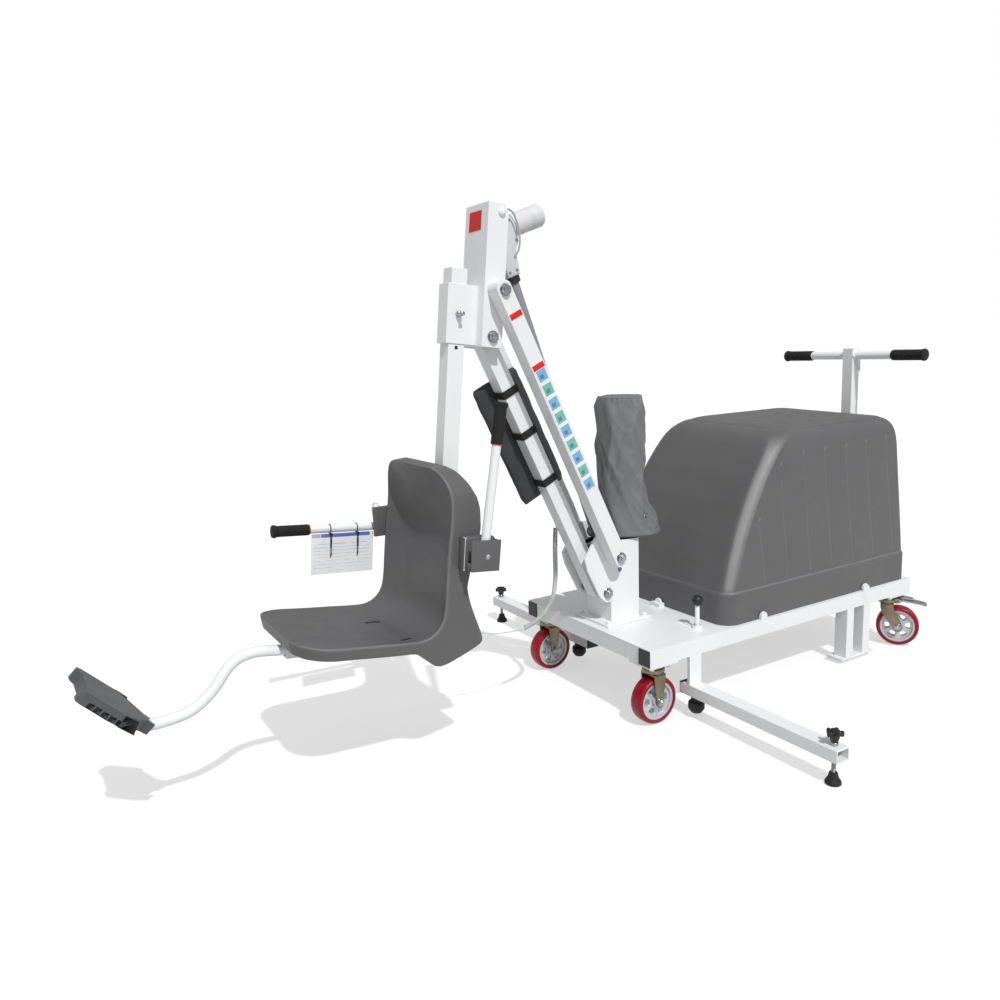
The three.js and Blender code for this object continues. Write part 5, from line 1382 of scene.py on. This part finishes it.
def seat_ring(station, half, trim=0.0):
    lx, lz, ox, oz, dish = station
    lip, out = Vector((lx, 0, lz)), Vector((ox, 0, oz))
    thick = (out - lip).length
    towards = (out - lip).normalized()
    lip, thick = lip + towards * trim, thick - 2 * trim
    half -= trim
    ring, paleness = [], []

    def put(y, depth, pale=0.0):
        p = lip + towards * depth
        ring.append(at(p.x, y, p.z))
        paleness.append(pale)
    # Paler points on the dish's edge and the rolled lip paint the rim's highlight, with some rubbed wear.
    inner = half - 7
    for k in range(41):
        y = inner * math.sin(math.pi / 2 * (k / 20 - 1))
        put(y, seat_dish(y, inner, dish), 0.35 if k in (0, 40) else 0)
    edge = [(half - 5, 0.1, 0.6), (half - 3, 0.8, 0.7), (half - 1, 2.6, 0.55), (half, 5, 0.2),
            (half, 9, 0), (half, thick * 0.35, 0), (half, thick * 0.65, 0), (half, thick - 8, 0),
            (half - 0.6, thick - 4, 0.2), (half - 2.6, thick - 1.2, 0.25), (half - 7, thick, 0)]
    for y, depth, pale in edge:
        put(y, depth, pale)
    for share in (0.8, 0.55, 0.3, 0, -0.3, -0.55, -0.8):
        put(share * half, thick)
    for y, depth, pale in reversed(edge):
        put(-y, depth, pale)
    return ring, paleness


def seat_shell():
    runs = seat_runs()
    total = runs[-1][0]
    top, ahead = SEAT_TOP_CURL, SEAT_FRONT_CURL
    plan = [(top * (1 - math.cos(a)), SEAT_HALF - top * (1 - math.sin(a)))
            for a in (math.radians(6 + 84 * i / 12) for i in range(13))]
    front = [(total - ahead * (1 - math.cos(a)), SEAT_HALF - ahead * (1 - math.sin(a)))
             for a in (math.radians(6 + 84 * i / 13) for i in range(14))]
    start, end = plan[-1][0], front[-1][0]
    steps = 46
    plan += [(start + (end - start) * i / steps, SEAT_HALF) for i in range(1, steps)]
    plan += list(reversed(front))
    rings, paleness = [], []
    for travelled, half in plan:
        ring, pale = seat_ring(seat_station(runs, travelled), half)
        rings.append(ring)
        paleness.append(pale)

    def ends(travelled, half, away):
        made = []
        # The end rings stay a little pale: the rim's painted highlight runs round the top and the front.
        for trim, push in ((0.6, 3.2), (2.2, 5.4), (5.5, 6.4)):
            ring, pale = seat_ring(seat_station(runs, travelled), half, trim)
            made.append(([p + away * push * MM for p in ring], [max(v, 0.35) for v in pale]))
        middle = sum(made[-1][0], Vector()) / len(made[-1][0])
        for share in (0.8, 0.4):
            made.append(([middle.lerp(p, share) for p in made[-1][0]], [0.0] * len(made[-1][0])))
        return made
    up = (rings[0][0] - rings[3][0]).normalized()
    ahead = (rings[-1][0] - rings[-4][0]).normalized()
    first = ends(plan[0][0], plan[0][1], Vector((up.x, 0, up.z)))
    last = ends(plan[-1][0], plan[-1][1], Vector((ahead.x, 0, ahead.z)))
    rings = [r for r, _ in reversed(first)] + rings + [r for r, _ in last]
    paleness = [w for _, w in reversed(first)] + paleness + [w for _, w in last]
    shell = lofted(rings)
    with_paleness(shell, paleness)
    with_modifier(shell, "SUBSURF", levels=1, render_levels=1)
    finished(shell, "seat_moulding", "seat", SEAT_GREY, ["seat_shell"], 0)
    smoothed(shell)
    # The two drain slots lie on the pan, found by a ray from above and turned to its slope: thin dark pads
    # that paint the shade inside the slots
    slots = []
    for x, y in ((-733, 42), (-717, -157)):
        found, place, slope, _ = shell.ray_cast(at(x, y, 700), Vector((0, 0, -1)))
        assert found
        slot = slab((-6.5, -22, -2.5), (6.5, 22, 0.5), lambda a, b, c: Vector((a, b, c)) * MM)
        eased(slot, 2.6, 3)
        turn = slope.to_track_quat("Z", "Y").to_matrix().to_4x4()
        slot.data.transform(Matrix.Translation(place) @ turn)
        slots.append(slot)
    finished(joined(*slots), "drain_slot_shade", "seat", PAINTED_HOLE_SHADE)


def seat_pieces():
    seat_shell()
    softened("seat_mast", "mast_weldment", WHITE, 2.2, 0.5, 40)
    for label, sign in SIDES:
        parts = []
        inner = [(-53.6, -43.6), (40.8, -43.6), (40.8, 49), (-53.6, 49)]
        rows = [[end_block(x, y, z) for x, z in inner] for y in mirrored(sign, 214.5, 248.6)]
        parts.append(eased(lofted(rows), 5, 3))
        outer = [(-48, -40), (39, -40), (41, 45), (-50, 45)]
        rows = [[end_block(x, y, z) for x, z in outer] for y in mirrored(sign, 275.6, 282)]
        parts.append(eased(lofted(rows), 2.6, 3))
        low, high = mirrored(sign, 246, 280)
        parts.append(eased(slab((-47, low, -41), (38, high, -36), end_block), 1.6, 2))
        parts.append(eased(slab((35, low, -41), (40, high, 43), end_block), 1.6, 2))
        parts.append(eased(slab((-49, low, -40), (-44, high, -18), end_block), 1.6, 2))
        if label == "far":
            parts.append(eased(slab((-636, 221, 610), (-560, 231, 704)), 4, 3))
            loop = [at(-617 + 9 * math.cos(a), 243 - 8 * math.cos(a), 689 + 26 * math.sin(a))
                    for a in (2 * math.pi * k / 36 for k in range(36))]
            finished(swept(loop, 3.2, 12, True), "strap_ring", "seat", RING_WHITE, (), 60)
        finished(joined(*parts), "armrest_housing_" + label, "seat", SEAT_GREY,
                 (), 40)
        run = [at(CROSSBAR_X, sign * y, ARMREST_Z) for y in (282, 300)]
        washer, dome = [(0, 0), (7, 0), (7, 1.2), (0, 1.2)], [(0, 1), (4.4, 1), (4.2, 3), (2.8, 4.4), (0, 5)]
        bolt = [turned(profile, *run, 28) for profile in (washer, dome)]
        finished(joined(*bolt), "armrest_bolt_" + label, "seat", STEEL)


def armrest(label, place, sign, reach):
    body = "armrest_" + label
    y = sign * (ARMREST_Y + 12.7)
    hub = bar(place(0, sign * ARMREST_Y, 0), place(0, sign * (ARMREST_Y + 26), 0), 21, 48)
    hub = eased(hub, 1.2, 2)
    tube = eased(bar(place(0, y, 10), place(0, y, 360 + reach), 12.7, 40), 0.8, 1)
    finished(joined(hub, tube), "armrest_tube_" + label, body, WHITE, ["armrest_" + label], 40)
    ring = turned([(12.8, 0), (15.2, 0), (15.4, 1), (15.4, 2.6), (12.8, 3)], place(0, y, 299 + reach),
                  place(0, y, 450), 40)
    finished(ring, "armrest_ring_" + label, body, RED_PLATE, (), 40)
    profile = [(12.8, 302), (16.2, 302), (17.2, 303.5)]
    for i in range(17):
        s = 306 + i * 5.4
        profile += [(16.4, s), (17.1, s + 1.6), (17.1, s + 3), (16.2, s + 4.6)]
    profile += [(16.8, 399), (19.2, 402), (19.8, 408), (18, 412.5), (12, 414), (0, 414.4)]
    grip = turned([(r, h + reach) for r, h in profile], place(0, y, 0), place(0, y, 400), 40)
    finished(grip, "armrest_grip_piece_" + label, body, FOAM, ["armrest_grip_" + label], 50)


def armrests():
    armrest("near", near_armrest, -1, 0)
    armrest("far", far_armrest, 1, 8)
    y = ARMREST_Y - 2.2
    columns, sheet = 25, []
    for x in (-138, -124, -108, -92, -76, -60, -46, -34, -25, -18, -12.5):
        row = []
        for k in range(columns):
            s = 106 + 200 * k / (columns - 1)
            bow = 2.2 * math.sin(math.pi * k / (columns - 1)) * min((-x - 11) / 60, 1)
            row.append(far_armrest(x, y + bow + 1.4 * noise.noise(Vector((x / 50, s / 60, 3))), s))
        sheet.append(row)
    faces = []
    for i in range(len(sheet) - 1):
        for j in range(columns - 1):
            a = i * columns + j
            faces.append((a, a + 1, a + 1 + columns, a + columns))
    piece = meshed("card", [p for r in sheet for p in r], [], faces)
    with_modifier(piece, "SOLIDIFY", thickness=0.0008, offset=0)
    finished(piece, "instruction_card", "armrest_far", CARD, ["armrest_card"], 40)
    ties = []
    for s in (158, 244):
        loop = [far_armrest(14 * math.cos(a) - 0.6, ARMREST_Y + 12.7 + 14.4 * math.sin(a) - 0.6, s)
                for a in (2 * math.pi * k / 28 for k in range(28))]
        ties.append(swept(loop, 1.6, 8, True))
        for drift, reach in ((-1.4, 84), (1.4, 78)):
            run = [far_armrest(-13, ARMREST_Y - 3.2, s), far_armrest(-40, ARMREST_Y - 5.4, s + drift),
                   far_armrest(-reach, ARMREST_Y - 5.2, s - drift)]
            ties.append(swept(curve_through(run, 20), 1.5, 8))
        knot = slab((-20, ARMREST_Y - 7, s - 4), (-11, ARMREST_Y - 1.6, s + 4), far_armrest)
        ties.append(eased(knot, 0.8, 1))
    finished(joined(*ties), "card_ties", "armrest_far", BLACK)


def footrest():
    # Along the carrier from its rear end, as shares of its length, with the tube's drop below its line
    rear_x, rear_z, front_x, front_z = -556, 349, -1008, 392
    angle = math.atan2(front_z - rear_z, front_x - rear_x)
    run = math.hypot(front_z - rear_z, front_x - rear_x)
    shares = [(0.46, 0), (0.97, 0), (1.2, 0.004), (1.3, -0.04), (1.42, -0.2), (1.53, -0.29),
              (1.69, -0.33), (1.78, -0.335)]
    points = []
    for s, drop in shares:
        x = rear_x + math.cos(angle) * run * s + math.sin(angle) * drop * run
        z = rear_z + math.sin(angle) * run * s - math.cos(angle) * drop * run
        points.append(at(x, 0, z))
    tube = swept(curve_through(points, 120), 15, 32)
    finished(tube, "footrest_bar", "footrest", WHITE, ["footrest_tube"], 50)
    softened("footboard", "footboard_moulding", BOARD_GREY, 2.2, 0.8, 14)


seat_pieces()
armrests()
footrest()


# Floor, background and light
def switched(tree, kinds, usual, seen):
    """One shader for most rays and another for the two kinds of ray named."""
    path = tree.nodes.new("ShaderNodeLightPath")
    rays = tree.nodes.new("ShaderNodeMath")
    rays.operation = "MAXIMUM"
    mix = tree.nodes.new("ShaderNodeMixShader")
    for k, kind in enumerate(kinds):
        tree.links.new(path.outputs[kind], rays.inputs[k])
    for k, socket in enumerate((rays.outputs[0], usual, seen)):
        tree.links.new(socket, mix.inputs[k])
    return mix.outputs[0]


def stage_floor():
    bpy.ops.mesh.primitive_plane_add(size=40, location=(0, 0, -0.0005))
    floor = settled(bpy.context.object)
    floor.name = "floor"
    finish = Finish("pale floor", (190, 190, 190), 0.9)
    tree, shader = finish.tree, finish.shader
    glow = tree.nodes.new("ShaderNodeEmission")
    glow.inputs["Color"].default_value = (1, 1, 1, 1)
    glow.inputs["Strength"].default_value = 0.52
    both = tree.nodes.new("ShaderNodeAddShader")
    tree.links.new(shader.outputs[0], both.inputs[0])
    tree.links.new(glow.outputs[0], both.inputs[1])
    shown = switched(tree, ("Is Camera Ray", "Is Glossy Ray"), shader.outputs[0], both.outputs[0])
    tree.links.new(shown, tree.nodes["Material Output"].inputs["Surface"])
    floor.data.materials.append(finish.material)


def light():
    sun = placed("sun", bpy.data.lights.new("sun", "SUN"))
    sun.data.energy = 2.45
    sun.data.angle = math.radians(1.3)
    sun.rotation_euler = Vector((0.14, 0.8, -1.0)).to_track_quat("-Z", "Y").to_euler()
    world = bpy.data.worlds.new("studio")
    bpy.context.scene.world = world
    world.use_nodes = True
    tree = world.node_tree
    soft = tree.nodes["Background"]
    soft.inputs["Color"].default_value = (1, 1, 1, 1)
    soft.inputs["Strength"].default_value = 0.46
    plain = tree.nodes.new("ShaderNodeBackground")
    plain.inputs["Color"].default_value = (1, 1, 1, 1)
    plain.inputs["Strength"].default_value = 1.0
    kinds = ("Is Camera Ray", "Is Transmission Ray")
    shown = switched(tree, kinds, soft.outputs[0], plain.outputs[0])
    tree.links.new(shown, tree.nodes["World Output"].inputs["Surface"])
    bpy.context.scene.view_settings.view_transform = "Standard"


stage_floor()
light()
